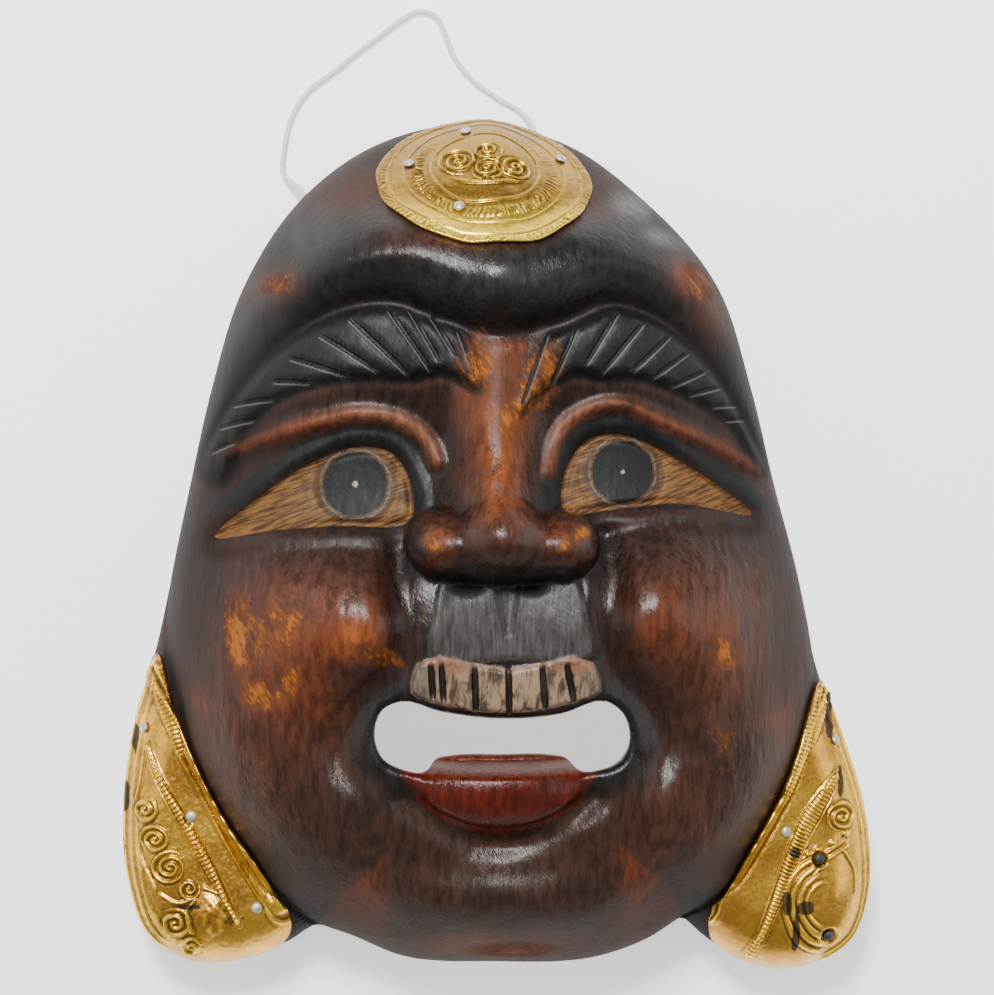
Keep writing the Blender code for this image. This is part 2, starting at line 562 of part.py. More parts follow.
def add_nails(name, places, plate, body, collection, cutters, finish):
    """The nails of one plate, square to it, and the holes for them in the plate and the wood."""
    form = bmesh.new()
    mesh = nail_mesh()
    mesh.materials.append(finish)
    sheet = BVHTree.FromPolygons([corner.co for corner in plate.data.vertices],
                                 [tuple(face.vertices) for face in plate.data.polygons])
    for number, place in enumerate(places, 1):
        x, y = (np.array([value * SHARE]) for value in place)
        axis = Vector(carved_normal(x, y)[0])
        turn = Vector((0, 0, 1)).rotation_difference(axis)
        foot = Vector(on_carving(x, y, np.zeros(1))[0])
        seat = 0.0
        for step in range(9):
            reach = NAIL_HEAD_RADIUS if step else 0.0
            bearing = step * math.pi / 4
            aside = turn @ Vector((reach * math.cos(bearing), reach * math.sin(bearing), 0))
            hit = sheet.ray_cast(foot + aside + axis * MEDALLION_RADIUS, -axis)[0]
            if hit:
                seat = max(seat, (hit - foot).dot(axis))
        spot = foot + axis * (seat + NAIL_CLEARANCE)
        nail = add_object(f"{name}_{number}", mesh, collection)
        nail.location = spot
        nail.rotation_mode = "QUATERNION"
        nail.rotation_quaternion = turn
        turned = nail.modifiers.new("turned", "SCREW")
        turned.steps = turned.render_steps = 8
        turned.use_merge_vertices = True
        turned.merge_threshold = 0.00001
        length = NAIL_LENGTH + NAIL_CLEARANCE + NAIL_HEAD_HEIGHT
        drill = bmesh.ops.create_cone(form, cap_ends=True, segments=8, depth=length,
                                      radius1=NAIL_RADIUS + NAIL_CLEARANCE,
                                      radius2=NAIL_RADIUS + NAIL_CLEARANCE)
        middle = spot + turn @ Vector((0, 0, NAIL_HEAD_HEIGHT - length / 2))
        for corner in drill["verts"]:
            corner.co = middle + turn @ corner.co
    add_cutter(f"{name}_holes", form, cutters, [plate, body])


def string_hole(place, bearing):
    """Where a string hole leaves the outline, which way it points, and how long it is to the hollow."""
    x, y = OUTLINE[np.argmin(np.hypot(*(OUTLINE - np.array(place)).T))] * SHARE
    out = Vector((math.cos(bearing), math.sin(bearing), 0))
    mouth = Vector((x, y, STRING_HOLE_HEIGHT))
    steps = np.linspace(0, 3 * RIM_WIDTH, 120)
    hollow_line = shifted_line(FACE_LINE, RIM_WIDTH / SHARE)
    reached = inside_distance((x - out.x * steps) / SHARE, (y - out.y * steps) / SHARE, hollow_line) > 1
    return mouth, out, float(steps[np.argmax(reached)])


def add_string(body, collection, cutters, finish):
    """The string: knotted behind one hole, out, round a loop on the table, and back through the other."""
    form = bmesh.new()
    ends = []
    for side, place, bearing in (("left", LEFT_HOLE, LEFT_HOLE_BEARING),
                                 ("right", RIGHT_HOLE, RIGHT_HOLE_BEARING)):
        mouth, out, length = string_hole(place, bearing)
        radius = STRING_DIAMETER / 2 + STRING_HOLE_CLEARANCE
        drill = bmesh.ops.create_cone(form, cap_ends=True, segments=10, radius1=radius, radius2=radius,
                                      depth=length + 4 * STRING_DIAMETER)
        turn = Vector((0, 0, 1)).rotation_difference(out)
        for corner in drill["verts"]:
            corner.co = mouth - out * length / 2 + turn @ corner.co
        knot = bmesh.new()
        bmesh.ops.create_icosphere(knot, subdivisions=2, radius=KNOT_RADIUS)
        for corner in knot.verts:
            corner.co.z *= 0.85
        mesh = bpy.data.meshes.new(f"{side}_knot")
        knot.to_mesh(mesh)
        knot.free()
        tied = add_object(f"{side}_knot", mesh, collection, finish)
        tied.location = mouth - out * (length + KNOT_CLEARANCE + KNOT_RADIUS)
        inner = mouth - out * (length - KNOT_CLEARANCE)
        ends.append([inner, mouth - out * length / 2, mouth, mouth + out * 1.5 * STRING_DIAMETER])
    add_cutter("string_holes", form, cutters, [body])

    lying = STRING_DIAMETER / 2 + STRING_LIFT
    route = [tuple(point) for point in ends[0]]
    route += [(x * SHARE, y * SHARE, lying) for x, y in STRING_BEND]
    route += [tuple(point) for point in reversed(ends[1])]
    fine = smooth_line(route, False, 16)
    travelled = np.concatenate([[0], np.cumsum(np.linalg.norm(np.diff(fine, axis=0), axis=1))])
    count = int(travelled[-1] / (2.1 * STRING_DIAMETER)) + 1
    places = np.linspace(0, travelled[-1], count)
    curve = bpy.data.curves.new("hanging_cord", "CURVE")
    curve.dimensions = "3D"
    curve.bevel_depth = STRING_DIAMETER / 2
    curve.bevel_resolution = 2
    curve.use_fill_caps = True
    spline = curve.splines.new("POLY")
    spline.points.add(count - 1)
    for point, x, y, z in zip(spline.points, *(np.interp(places, travelled, fine[:, axis])
                                               for axis in range(3))):
        point.co = (x, y, z, 1)
    return add_object("hanging_cord", curve, collection, finish)


for old in list(bpy.data.objects):
    bpy.data.objects.remove(old, do_unlink=True)
parts = bpy.data.collections.new("carved_mask")
cutters = bpy.data.collections.new("cutters")
for group in (parts, cutters):
    bpy.context.scene.collection.children.link(group)
drawing = bpy.data.objects.new("drawing", None)
parts.objects.link(drawing)
middle = (OUTLINE.min(axis=0) + OUTLINE.max(axis=0)) / 2 * SHARE
drawing.location = (-middle[0], -middle[1], 0)

wood = material("stained_wood", (0.11, 0.035, 0.02), 0.35)
brass = material("brass_sheet", (0.78, 0.53, 0.16), 0.3, 1.0)
steel = material("pale_nail", (0.62, 0.6, 0.56), 0.4, 1.0)
cotton = material("cotton_string", (0.83, 0.81, 0.76), 0.9)

body = add_mask_body(parts, wood)
add_gouge_cuts(cutters, body)
medallion = add_medallion(parts, brass)
left_plate = add_ear_plate("left_ear_plate", LEFT_PLATE, LEFT_PLATE_CENTRE, (-99, -127, 8),
                           LEFT_EAR_NAILS, parts, brass)
right_plate = add_ear_plate("right_ear_plate", RIGHT_PLATE, RIGHT_PLATE_CENTRE, (112, -126, 15),
                            RIGHT_EAR_NAILS, parts, brass)
for name, places, plate in (("medallion_nail", MEDALLION_NAILS, medallion),
                            ("left_ear_nail", LEFT_EAR_NAILS, left_plate),
                            ("right_ear_nail", RIGHT_EAR_NAILS, right_plate)):
    add_nails(name, places, plate, body, parts, cutters, steel)
add_string(body, parts, cutters, cotton)
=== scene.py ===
# The looks of a carved wooden mask that lies face up: stained wood, three embossed brass plates,
# their nails, and a cotton string. Everything is in metres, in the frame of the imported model.
import math

import bpy
import numpy as np
from mathutils import Matrix, Vector


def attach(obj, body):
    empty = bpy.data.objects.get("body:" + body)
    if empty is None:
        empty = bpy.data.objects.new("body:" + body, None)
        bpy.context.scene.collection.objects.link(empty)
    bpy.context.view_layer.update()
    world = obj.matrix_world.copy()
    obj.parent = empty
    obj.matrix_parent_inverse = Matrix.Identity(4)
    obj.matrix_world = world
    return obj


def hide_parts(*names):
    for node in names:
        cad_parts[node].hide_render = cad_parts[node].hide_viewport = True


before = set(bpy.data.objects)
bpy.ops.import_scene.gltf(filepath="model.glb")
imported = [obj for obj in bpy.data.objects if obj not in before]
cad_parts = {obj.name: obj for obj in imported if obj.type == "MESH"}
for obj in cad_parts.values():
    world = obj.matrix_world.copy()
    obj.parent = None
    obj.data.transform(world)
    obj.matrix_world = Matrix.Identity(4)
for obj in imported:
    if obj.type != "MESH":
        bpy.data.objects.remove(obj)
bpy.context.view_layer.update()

mm = 0.001  # one share of the drawing that the mask is carved from

outlines = {  # drawn places, clockwise
    "head": [(-115, -15), (-108, 20), (-100, 56), (-89, 91), (-67, 124), (-44, 141), (-5, 150),
             (28, 142), (52, 125), (81, 92), (93, 56), (102, 20), (111, -15)],
    "rightLobe": [(118, -48), (127, -70), (135, -100), (135, -124), (128, -143), (108, -153),
                  (90, -151), (76, -142)],
    "chin": [(67, -135), (56, -142), (40, -148), (0, -150), (-35, -147), (-51, -140), (-62, -136)],
    "leftLobe": [(-73, -142), (-90, -148), (-110, -147), (-122, -139), (-130, -118), (-131, -92),
                 (-127, -62), (-120, -38)],
    "rightJaw": [(116, -48), (112, -78), (99, -106), (82, -128)],
    "leftJaw": [(-78, -128), (-96, -106), (-111, -78), (-117, -45)],
    "mouth": [(-42.6, -63), (-40, -54), (-34, -51.2), (-21, -54.6), (0, -57), (19, -55.6), (34, -51.6),
              (39.5, -55.5), (42, -64), (39, -71.5), (32, -74.4), (24.4, -74.3), (22.4, -72.2), (18, -71.3),
              (0, -70.9), (-18, -71.3), (-22.6, -72.3), (-24.6, -74.2), (-34, -73.6), (-40, -70)],
}

features = {
    "sideHeight": 12, "faceHeight": 78, "faceReach": 62, "lobeHeight": 42, "lobeReach": 20,
    "rimWidth": 14, "cavityDepth": 50, "cavityReach": 45, "mouthCentre": (0, -64), "mouthSplay": 4,
    "mouthRounding": 3,
    "rollEdge": [(-118, 22), (-96, 45), (-88, 57), (-73, 70), (-54, 80), (-35, 82), (-20, 76),
                 (-1, 72), (18, 76), (35, 82), (52, 78), (68, 66), (80, 53), (88, 40), (112, 18)],
    "brows": [[(-12, 71), (-24, 76), (-38, 80), (-54, 78), (-72, 68), (-86, 55), (-96, 42),
               (-102, 24), (-94, 21), (-86, 37), (-76, 47), (-62, 52.5), (-45, 54.5), (-30, 54),
               (-20, 56), (-8, 50)],
              [(13, 70), (23, 74), (36, 80), (51, 76), (66, 66), (78, 53), (87, 41), (95, 24),
               (88, 28), (79, 40), (70, 45.5), (58, 51), (44, 55), (32, 54.5), (24, 56), (15, 51),
               (4, 42)]],
    "browCuts": [[((-14.9, 71), (-9, 54)), ((-24, 76), (-15.6, 62)), ((-31, 78), (-21, 60)),
                  ((-38, 78), (-23.5, 57)), ((-51, 75), (-31, 56)), ((-61, 70), (-41, 57)),
                  ((-71, 62.5), (-50, 55.5)), ((-77, 54.8), (-63, 54)), ((-91, 47.5), (-76, 49)),
                  ((-96, 40), (-82, 42.5)), ((-99, 31.5), (-89.5, 35))],
                 [((13.8, 70), (5.5, 46)), ((23.5, 72), (15.2, 53)), ((37.5, 77.5), (26, 59)),
                  ((46.5, 74.5), (31.5, 56.5)), ((56, 70.5), (42, 57.5)), ((62.5, 65), (49, 55.5)),
                  ((69, 59), (56, 53)), ((75.5, 54), (62.5, 50.5)), ((82.5, 48.2), (71, 47)),
                  ((86, 43.5), (76, 42.5))]],
    "toothCuts": [((-24.5, -37.6), (-23.5, -51)), ((-21, -37.8), (-20, -52)),
                  ((-10, -38.5), (-9.5, -55)), ((1, -39), (1.5, -56)),
                  ((12, -38.5), (13.5, -54.5)), ((20, -37.8), (23, -52.5))],
    "eyes": [{"line": [(-97, 2.5), (-82, 15.8), (-63, 27.9), (-47, 32.9), (-37, 31), (-31, 22),
                       (-30, 9.5), (-56, 6.5), (-76, 5)],
              "fold": [(-93, 31), (-79, 36), (-63, 40.5), (-47, 43.5), (-34, 41.5), (-26, 36),
                       (-22, 28)],
              "pupil": (-49, 20.5), "pupilRadius": 10.6, "slant": math.radians(12)},
             {"line": [(20, 11.5), (22, 27), (29, 35.5), (41, 37), (50, 34), (65, 26), (79, 17),
                       (87, 11), (58, 14), (38, 12)],
              "fold": [(15, 25), (17, 34), (21, 40.5), (28, 45), (38, 47), (51, 42.5), (65, 37),
                       (79, 31), (90, 26)],
              "pupil": (40.5, 24.6), "pupilRadius": 10.3, "slant": math.radians(-8)}],
    "irisRadius": 14.5,
    "cheeks": [{"centre": (-51, -26),
                "furrow": [(-34, 2), (-35, -12), (-33, -28), (-38, -42), (-49, -53), (-55, -66),
                           (-51, -82)]},
               {"centre": (53, -24),
                "furrow": [(34, 2), (36, -12), (35, -28), (39, -42), (49, -53), (54, -66),
                           (50, -82)]}],
    "gum": [(-21, -10), (4, -8), (24, -10), (27, -24), (29.5, -35.5), (2, -37.5), (-25.5, -35.5),
            (-24, -24)],
    "teeth": [(-29, -38), (1, -40), (29, -38), (32, -48), (20, -52.5), (0, -55), (-20, -52.5),
              (-31, -48)],
    "lip": [(-35, -72), (-20, -72.7), (0, -73), (20, -72.7), (32, -72.3), (27, -83), (14, -92.5),
            (-1, -95.5), (-15, -93), (-28, -84.5)],
    "underLip": [(-32, -84), (-18, -95), (0, -99), (18, -94), (30, -84)],
}


def smoothLine(points, closed, steps=8):
    # Between two points the curve is the cubic whose slope at each point is the mean of its
    # neighbours' slopes, weighted for their distances.
    given = np.array(points, dtype=float)
    if closed:
        chain = np.vstack([given[-1], given, given[0], given[1]])
    else:
        chain = np.vstack([2 * given[0] - given[1], given, 2 * given[-1] - given[-2]])
    leap = np.diff(chain, axis=0)
    length = np.linalg.norm(leap, axis=1)[:, None]
    slope = leap / length
    tangent = (slope[:-1] * length[1:] + slope[1:] * length[:-1]) / (length[1:] + length[:-1])
    start, finish, span = chain[1:-2, None], chain[2:-1, None], length[1:-1, None]
    t = (np.arange(steps) / steps)[None, :, None]
    curve = start * (2 * t ** 3 - 3 * t ** 2 + 1) + finish * (3 * t ** 2 - 2 * t ** 3)
    curve += span * tangent[:-1, None] * (t ** 3 - 2 * t ** 2 + t)
    curve += span * tangent[1:, None] * (t ** 3 - t ** 2)
    curve = curve.reshape(-1, given.shape[1])
    return curve if closed else np.vstack([curve, given[-1]])


def lineDistance(x, y, line, closed, reach=70):
    # The distance to the nearest stretch of a line, and how far along the line that is. Places that
    # are further than the reach from the line's box keep the reach.
    x, y = np.broadcast_arrays(np.asarray(x, dtype=float), np.asarray(y, dtype=float))
    low, high = line.min(axis=0) - reach, line.max(axis=0) + reach
    near = (x > low[0]) & (x < high[0]) & (y > low[1]) & (y < high[1])
    px, py = x[near], y[near]
    best = np.full(px.shape, float(reach) ** 2)
    along = np.zeros(px.shape)
    travelled = 0.0
    ends = np.roll(line, -1, axis=0) if closed else line[1:]
    for (ax, ay), (bx, by) in zip(line, ends):
        ux, uy = bx - ax, by - ay
        length = ux * ux + uy * uy
        t = np.clip(((px - ax) * ux + (py - ay) * uy) / length, 0, 1)
        square = (px - ax - t * ux) ** 2 + (py - ay - t * uy) ** 2
        closer = square < best
        best = np.where(closer, square, best)
        along = np.where(closer, travelled + t * math.sqrt(length), along)
        travelled += math.sqrt(length)
    distance = np.full(x.shape, float(reach))
    place = np.zeros(x.shape)
    distance[near] = np.sqrt(best)
    place[near] = along
    return distance, place


def insideDistance(x, y, line, reach=70):
    # The distance to a closed line, positive inside it and negative outside.
    x, y = np.broadcast_arrays(np.asarray(x, dtype=float), np.asarray(y, dtype=float))
    low, high = line.min(axis=0), line.max(axis=0)
    near = (x >= low[0]) & (x <= high[0]) & (y >= low[1]) & (y <= high[1])
    px, py = x[near], y[near]
    odd = np.zeros(px.shape, dtype=bool)
    for (ax, ay), (bx, by) in zip(line, np.roll(line, -1, axis=0)):
        if ay != by:
            odd ^= ((ay > py) != (by > py)) & (px < ax + (py - ay) / (by - ay) * (bx - ax))
    inside = np.zeros(x.shape, dtype=bool)
    inside[near] = odd
    return np.where(inside, 1, -1) * lineDistance(x, y, line, True, reach)[0]


def blend(value):  # 0 below 0, 1 above 1, and a smooth rise between them
    t = np.clip(value, 0, 1)
    return t * t * (3 - 2 * t)


def rounded(distance, reach):  # a quarter of an ellipse: upright at 0, level from the reach on
    return np.sqrt(1 - (1 - np.clip(distance / reach, 0, 1)) ** 2)


def lineSwell(distance, width):  # 1 on a line, less and less beside it
    return np.exp(-(distance / width) ** 2)


def mound(x, y, centre, width, height, turn=0.0):  # 1 in the middle of an ellipse, less outwards
    east, north = x - centre[0], y - centre[1]
    across = east * math.cos(turn) + north * math.sin(turn)
    up = north * math.cos(turn) - east * math.sin(turn)
    return np.exp(-((across / width) ** 2 + (up / height) ** 2) ** 1.25)


def ball(x, y, centre, width, height, foot, rise):  # an egg's upper half, with a steep fall round it
    ratio = ((x - centre[0]) / width) ** 2 + ((y - centre[1]) / height) ** 2
    return foot + rise * np.sqrt(np.clip(1 - ratio, 0, 1)) - 60 * np.clip(ratio - 1, 0, 1)


def join(first, second, softness):  # the higher of two surfaces, with the crease between them filled
    near = np.clip(softness - np.abs(first - second), 0, None)
    return np.maximum(first, second) + near ** 2 / (4 * softness)


def latticeNoise(x, y, size, seed):
    # Random numbers from -1 to 1 on a square lattice of the given size, blended by smooth steps.
    cells = 128
    table = np.random.default_rng(seed).uniform(-1, 1, (cells, cells))
    u, v = np.asarray(x) / size + 1000.0, np.asarray(y) / size + 1000.0
    column, row = np.floor(u).astype(int), np.floor(v).astype(int)
    s, t = blend(u - column), blend(v - row)
    here, beside = column % cells, (column + 1) % cells
    low, high = (table[line % cells, here] * (1 - s) + table[line % cells, beside] * s
                 for line in (row, row + 1))
    return low * (1 - t) + high * t


def cloud(x, y, size, seed, layers=3):  # lattice noise at halving sizes, each half as strong
    total = sum(latticeNoise(x, y, size / 2 ** n, seed + n) / 2 ** n for n in range(layers))
    return total / 1.6


outline, faceLine = (smoothLine(outlines["head"] + outlines["right" + side] + outlines["chin"]
                                + outlines["left" + side], True) for side in ("Lobe", "Jaw"))
mouthLine = smoothLine(outlines["mouth"], True, 4)
middle = (outline.min(axis=0) + outline.max(axis=0)) / 2


def cutFan(x, y, cuts):
    # A fan of straight cuts as a count that grows evenly from each cut to the next, whole on a cut.
    # With it go the way from one cut to the next and how far a place is from the ends of its cut.
    lines = np.array(cuts, dtype=float)
    run = lines[:, 1] - lines[:, 0]
    length = np.linalg.norm(run, axis=1)
    run = run / length[:, None]
    arm = np.stack([x, y], axis=-1)[..., None, :] - lines[:, 0]
    beside = arm[..., 0] * run[:, 1] - arm[..., 1] * run[:, 0]
    if np.mean(lines[-1] - lines[0], axis=0)[0] * run[0, 1] < 0:
        beside = -beside
    along = (arm * run).sum(axis=-1)
    first, last, spare = beside[..., 0], beside[..., -1], 6.0
    count = np.where(last > 0, len(lines) - 1 + last / spare, np.minimum(first, 0) / spare)
    gap = np.full(first.shape, spare)
    for number in range(len(lines) - 1):
        before, after = beside[..., number], beside[..., number + 1]
        between = (before >= 0) & (after < 0)
        width = np.where(between, before - after, 1)
        count = np.where(between, number + before / width, count)
        gap = np.where(between, width, gap)
    nearest = np.clip(np.round(count), 0, len(lines) - 1).astype(int)
    place = np.take_along_axis(along, nearest[..., None], axis=-1)[..., 0]
    reach = np.minimum(place, length[nearest] - place)
    return count, gap, np.where(np.abs(count - nearest) > 0.55, -5, reach)


def fromCut(count, gap):  # the distance to the nearest cut of a fan
    return np.abs(count - np.round(np.maximum(count, 0))) * gap


def browForms(x, y, inside, marks):
    # A roll along the forehead that falls slowly above its edge, with a dip below the edge and a
    # shallow one behind it, and the brows raised by a rounded step.
    above = insideDistance(x, y, smoothLine(features["rollEdge"] + [(150, 210), (-150, 210)], True, 5))
    added = 12 * blend((above + 3) / 17) * (1 - blend((above - 14) / 40)) * rounded(inside, 40)
    added = added - 2 * lineSwell(above + 2.5, 3.5)
    added = added - 2.5 * lineSwell(above - 32, 8) * blend((64 - np.abs(x)) / 28)
    marks["roll"] = above
    marks["brow"] = np.maximum(*(insideDistance(x, y, smoothLine(brow, True, 4), 30)
                                 for brow in features["brows"]))
    return added + 4.2 * blend((marks["brow"] + 0.4) / 4.5)


def eyeForms(x, y, marks):
    # For each eye a slanted socket, a round fold over it, a rim, and an eyeball that is sunk at the
    # rim and swells to the pupil, with a fine ring cut round the iris.
    shape = np.shape(x)
    marks.update(eye=np.full(shape, -30.0), fold=np.full(shape, 30.0), pupil=np.full(shape, 30.0))
    added = 0
    for eye in features["eyes"]:
        within = insideDistance(x, y, smoothLine(eye["line"], True, 5), 30)
        fold = lineDistance(x, y, smoothLine(eye["fold"], False, 5), False, 30)[0]
        centre = eye["pupil"]
        added = added - 12 * mound(x, y, (centre[0] * 1.06, centre[1] + 1), 42, 23, eye["slant"])
        added = added + 3.4 * lineSwell(fold, 2.7)
        added = added + 1.6 * lineSwell(within + 3.4, 2.4) - 2.4 * blend((within + 0.4) / 1.8)
        fromPupil = np.hypot(x - centre[0], y - centre[1])
        added = added + 5 * np.clip(1 - (fromPupil / 30) ** 2, 0, 1) * blend(within / 3)
        added = added - 0.8 * lineSwell(fromPupil - features["irisRadius"], 0.8) * (within > 0)
        marks["eye"] = np.maximum(marks["eye"], within)
        marks["fold"] = np.minimum(marks["fold"], fold)
        marks["pupil"] = np.minimum(marks["pupil"], fromPupil - eye["pupilRadius"])
    return added


def cheekForms(x, y):
    # A broad swell with a smaller one on it for each cheek, a furrow beside it, and the chin's swell
    # under a dip.
    added = 5 * mound(x, y, (0, -124), 36, 19) - 4 * mound(x, y, (0, -105), 34, 9)
    for cheek in features["cheeks"]:
        centre = cheek["centre"]
        furrow = lineDistance(x, y, smoothLine(cheek["furrow"], False, 4), False, 30)[0]
        added = added + 8 * mound(x, y, centre, 30, 25)
        added = added + 4 * mound(x, y, (centre[0] * 0.88, centre[1] + 1), 14, 13)
        added = added - 5 * lineSwell(furrow, 6.5) * blend((y + 88) / 22)
    return added


def withNose(face, x, y):
    # A bridge that grows wider and higher downwards, a broad egg across, a ball for the tip, a
    # smaller ball for each wing, and the nostrils.
    down = blend((66 - y) / 56)
    face = face + (3 + 17 * down) * np.exp(-((x + 2.3) / (9 + 6 * down)) ** 2) * blend((y + 13) / 14)
    face = join(face, ball(x, y, (-0.5, 0), 31, 12.5, 72, 24), 7)
    face = join(face, ball(x, y, (-1.5, 3.5), 14.5, 13.5, 74, 28), 12)
    for centre in (-20, 19.5):
        face = join(face, ball(x, y, (centre, 0.5), 12, 12, 72, 21.5), 9)
    for centre in (-12, 9):
        face = face - 4 * mound(x, y, (centre, -12.5), 5, 3)
    return face


def withMouth(face, x, y, marks):
    # The gum on a swell of its own, with a groove down its middle, the teeth, a hollow under the lip,
    # a sunk ledge behind it, and the lip as part of an egg that rounds off to its edge.
    for name, steps in (("gum", 3), ("teeth", 3), ("lip", 4)):
        marks[name] = insideDistance(x, y, smoothLine(features[name], True, steps), 30)
    underLip = lineDistance(x, y, smoothLine(features["underLip"], False, 4), False, 30)[0]
    face = face + 4 * mound(x, y, (2, -34), 40, 28) + 1.3 * blend(marks["gum"] / 1.6)
    marks["philtrum"] = np.minimum(5.2 + 0.2 * (y + 13) - np.abs(x - 1), 0.8 * (y + 30))
    face = face - 1.6 * blend(marks["philtrum"] / 2.5) * (y < -8)
    face = face + 1.8 * blend(marks["teeth"] / 1.6)
    face = face - 4 * lineSwell(underLip, 4.5)
    marks["ledge"] = blend((y + 78) / 5) * blend((-y - 66) / 2) * blend((28 - np.abs(x)) / 8)
    face = face - 16 * marks["ledge"]
    bulge = np.sqrt(np.clip(1 - ((x + 1) / 38) ** 2 - ((y + 81) / 17) ** 2, 0, 1))
    lip = 60 + 24 * bulge * rounded(marks["lip"], 4)
    return np.where(marks["lip"] > 0, join(face, lip, 3), face)


def withCuts(face, x, y, marks):
    # Grooves in the brows and between the teeth, each place belonging to the fan that it lies by.
    fans = [cutFan(x, y, cuts) for cuts in (*features["browCuts"], features["toothCuts"])]
    leftBrow, rightBrow = (y > 0) & (x < 0), (y > 0) & (x >= 0)
    for name, (left, right, teeth) in zip(("cutCount", "cutGap", "cutReach"), zip(*fans)):
        marks[name] = np.where(leftBrow, left, np.where(rightBrow, right, teeth))
    across = fromCut(marks["cutCount"], marks["cutGap"])
    return face - 1.5 * blend(1 - across / 1.6) * blend(marks["cutReach"] / 3)


def carve(x, y, marks=None):
    # The height of the carving over the back, in drawn shares: a dome that falls to the sides, lower
    # domes for the ear lobes, and each feature of the face added. Marks collects the painted areas.
    f = features
    marks = {} if marks is None else marks
    inside = insideDistance(x, y, faceLine)
    marks["edge"] = insideDistance(x, y, outline)
    side = f["sideHeight"]
    dome = side + (f["faceHeight"] - side) * rounded(inside, f["faceReach"])
    lobes = side + (f["lobeHeight"] - side) * rounded(marks["edge"], f["lobeReach"])
    face = join(dome, lobes, 8) - 2 * (1 - blend(np.abs(dome - lobes) / 8))
    added = browForms(x, y, inside, marks) + eyeForms(x, y, marks) + cheekForms(x, y)
    face = withNose(face + added * rounded(inside, 25), x, y)
    face = withCuts(withMouth(face, x, y, marks), x, y, marks)
    marks["mouth"] = -insideDistance(x, y, mouthLine, 20)
    return face - f["mouthRounding"] * (1 - rounded(marks["mouth"], f["mouthRounding"]))


def carvedNormal(x, y):  # the way out of the wood, from the slope of the carving over half a share
    step = 0.25
    east = (carve(x + step, y) - carve(x - step, y)) / (2 * step)
    north = (carve(x, y + step) - carve(x, y - step)) / (2 * step)
    normal = np.stack([-east, -north, np.ones_like(east)], axis=-1)
    return normal / np.linalg.norm(normal, axis=-1, keepdims=True)


def onCarving(x, y, lift, normal=None):  # drawn places lifted off the carving along its normal
    normal = carvedNormal(x, y) if normal is None else normal
    return np.stack([x, y, carve(x, y)], axis=-1) + normal * np.asarray(lift)[..., None]


def placed(points):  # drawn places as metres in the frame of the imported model
    return (np.asarray(points) - np.array([middle[0], middle[1], 0])) * mm


def radiusAt(bearing, line, centre):  # how far a closed line is from a centre inside it
    arm = line - np.array(centre)
    turn = np.arctan2(arm[:, 1], arm[:, 0])
    order = np.argsort(turn)
    return np.interp(bearing, turn[order], np.hypot(*arm.T)[order], period=2 * math.pi)


def distancesAlong(line):  # how far each point of a line is from its start, measured along it
    return np.concatenate([[0], np.cumsum(np.linalg.norm(np.diff(line, axis=0), axis=1))])


def placesAlong(line, distances):  # the places of a line at the given distances from its start
    known = distancesAlong(line)
    return np.stack([np.interp(distances, known, values) for values in line.T], axis=1)


def evenBearings(line, centre, count):  # bearings of places spaced evenly along a closed line
    ring = np.vstack([line, line[:1]])
    places = placesAlong(ring, np.linspace(0, distancesAlong(ring)[-1], count, endpoint=False))
    return np.arctan2(places[:, 1] - centre[1], places[:, 0] - centre[0])


def shiftedLine(line, distance):  # a closed clockwise line, moved inwards
    run = np.roll(line, -1, axis=0) - np.roll(line, 1, axis=0)
    inward = np.stack([run[:, 1], -run[:, 0]], axis=1)
    return line + distance * inward / np.linalg.norm(inward, axis=1, keepdims=True)


def ringFaces(rings, columns, closed, first=0):
    # The quads between rings of points, and between the last ring and the first if it is closed.
    ring = np.arange(rings if closed else rings - 1)[:, None] * columns
    after = (ring + columns) % (rings * columns) if closed else ring + columns
    column = np.arange(columns)[None]
    beside = (column + 1) % columns
    quads = np.stack([ring + column, ring + beside, after + beside, after + column], axis=-1)
    return quads.reshape(-1, 4) + first


def fan(middle, first, columns):  # the triangles from a middle point to the ring that starts at first
    column = np.arange(columns)
    return np.stack([np.full(columns, middle), first + column, first + (column + 1) % columns], axis=1)


def fillMesh(name, points, quads, triangles=None):
    # Quads and triangles as one smooth-shaded mesh, put in place by whole arrays.
    faces = [quads] if triangles is None else [quads, triangles]
    loops = np.concatenate([face.ravel() for face in faces])
    sizes = np.concatenate([np.full(len(face), face.shape[1]) for face in faces])
    mesh = bpy.data.meshes.new(name)
    mesh.vertices.add(len(points))
    mesh.vertices.foreach_set("co", np.asarray(points, dtype=np.float32).ravel())
    mesh.loops.add(len(loops))
    mesh.loops.foreach_set("vertex_index", loops.astype(np.int32))
    mesh.polygons.add(len(sizes))
    starts = np.concatenate([[0], np.cumsum(sizes)[:-1]])
    mesh.polygons.foreach_set("loop_start", starts.astype(np.int32))
    mesh.polygons.foreach_set("use_smooth", np.ones(len(sizes), dtype=bool))
    mesh.update(calc_edges=True)
    mesh.validate()
    thing = bpy.data.objects.new(name, mesh)
    bpy.context.scene.collection.objects.link(thing)
    return thing


def addMark(thing, name, values):
    mark = thing.data.attributes.new(name, "FLOAT", "POINT")
    mark.data.foreach_set("value", np.asarray(values, dtype=np.float32).ravel())


def addTones(thing, name, tones):
    mark = thing.data.attributes.new(name, "FLOAT_COLOR", "POINT")
    full = np.concatenate([tones, np.ones((len(tones), 1))], axis=1)
    mark.data.foreach_set("color", full.astype(np.float32).ravel())


def softened(grid, passes):  # each value drawn to the mean of its four neighbours, again and again
    for _ in range(passes):
        rows = (np.roll(grid, 1, axis=0) + np.roll(grid, -1, axis=0)) / 2
        columns = (np.roll(grid, 1, axis=1) + np.roll(grid, -1, axis=1)) / 2
        grid = (rows + columns) / 2
    return grid


# Wood

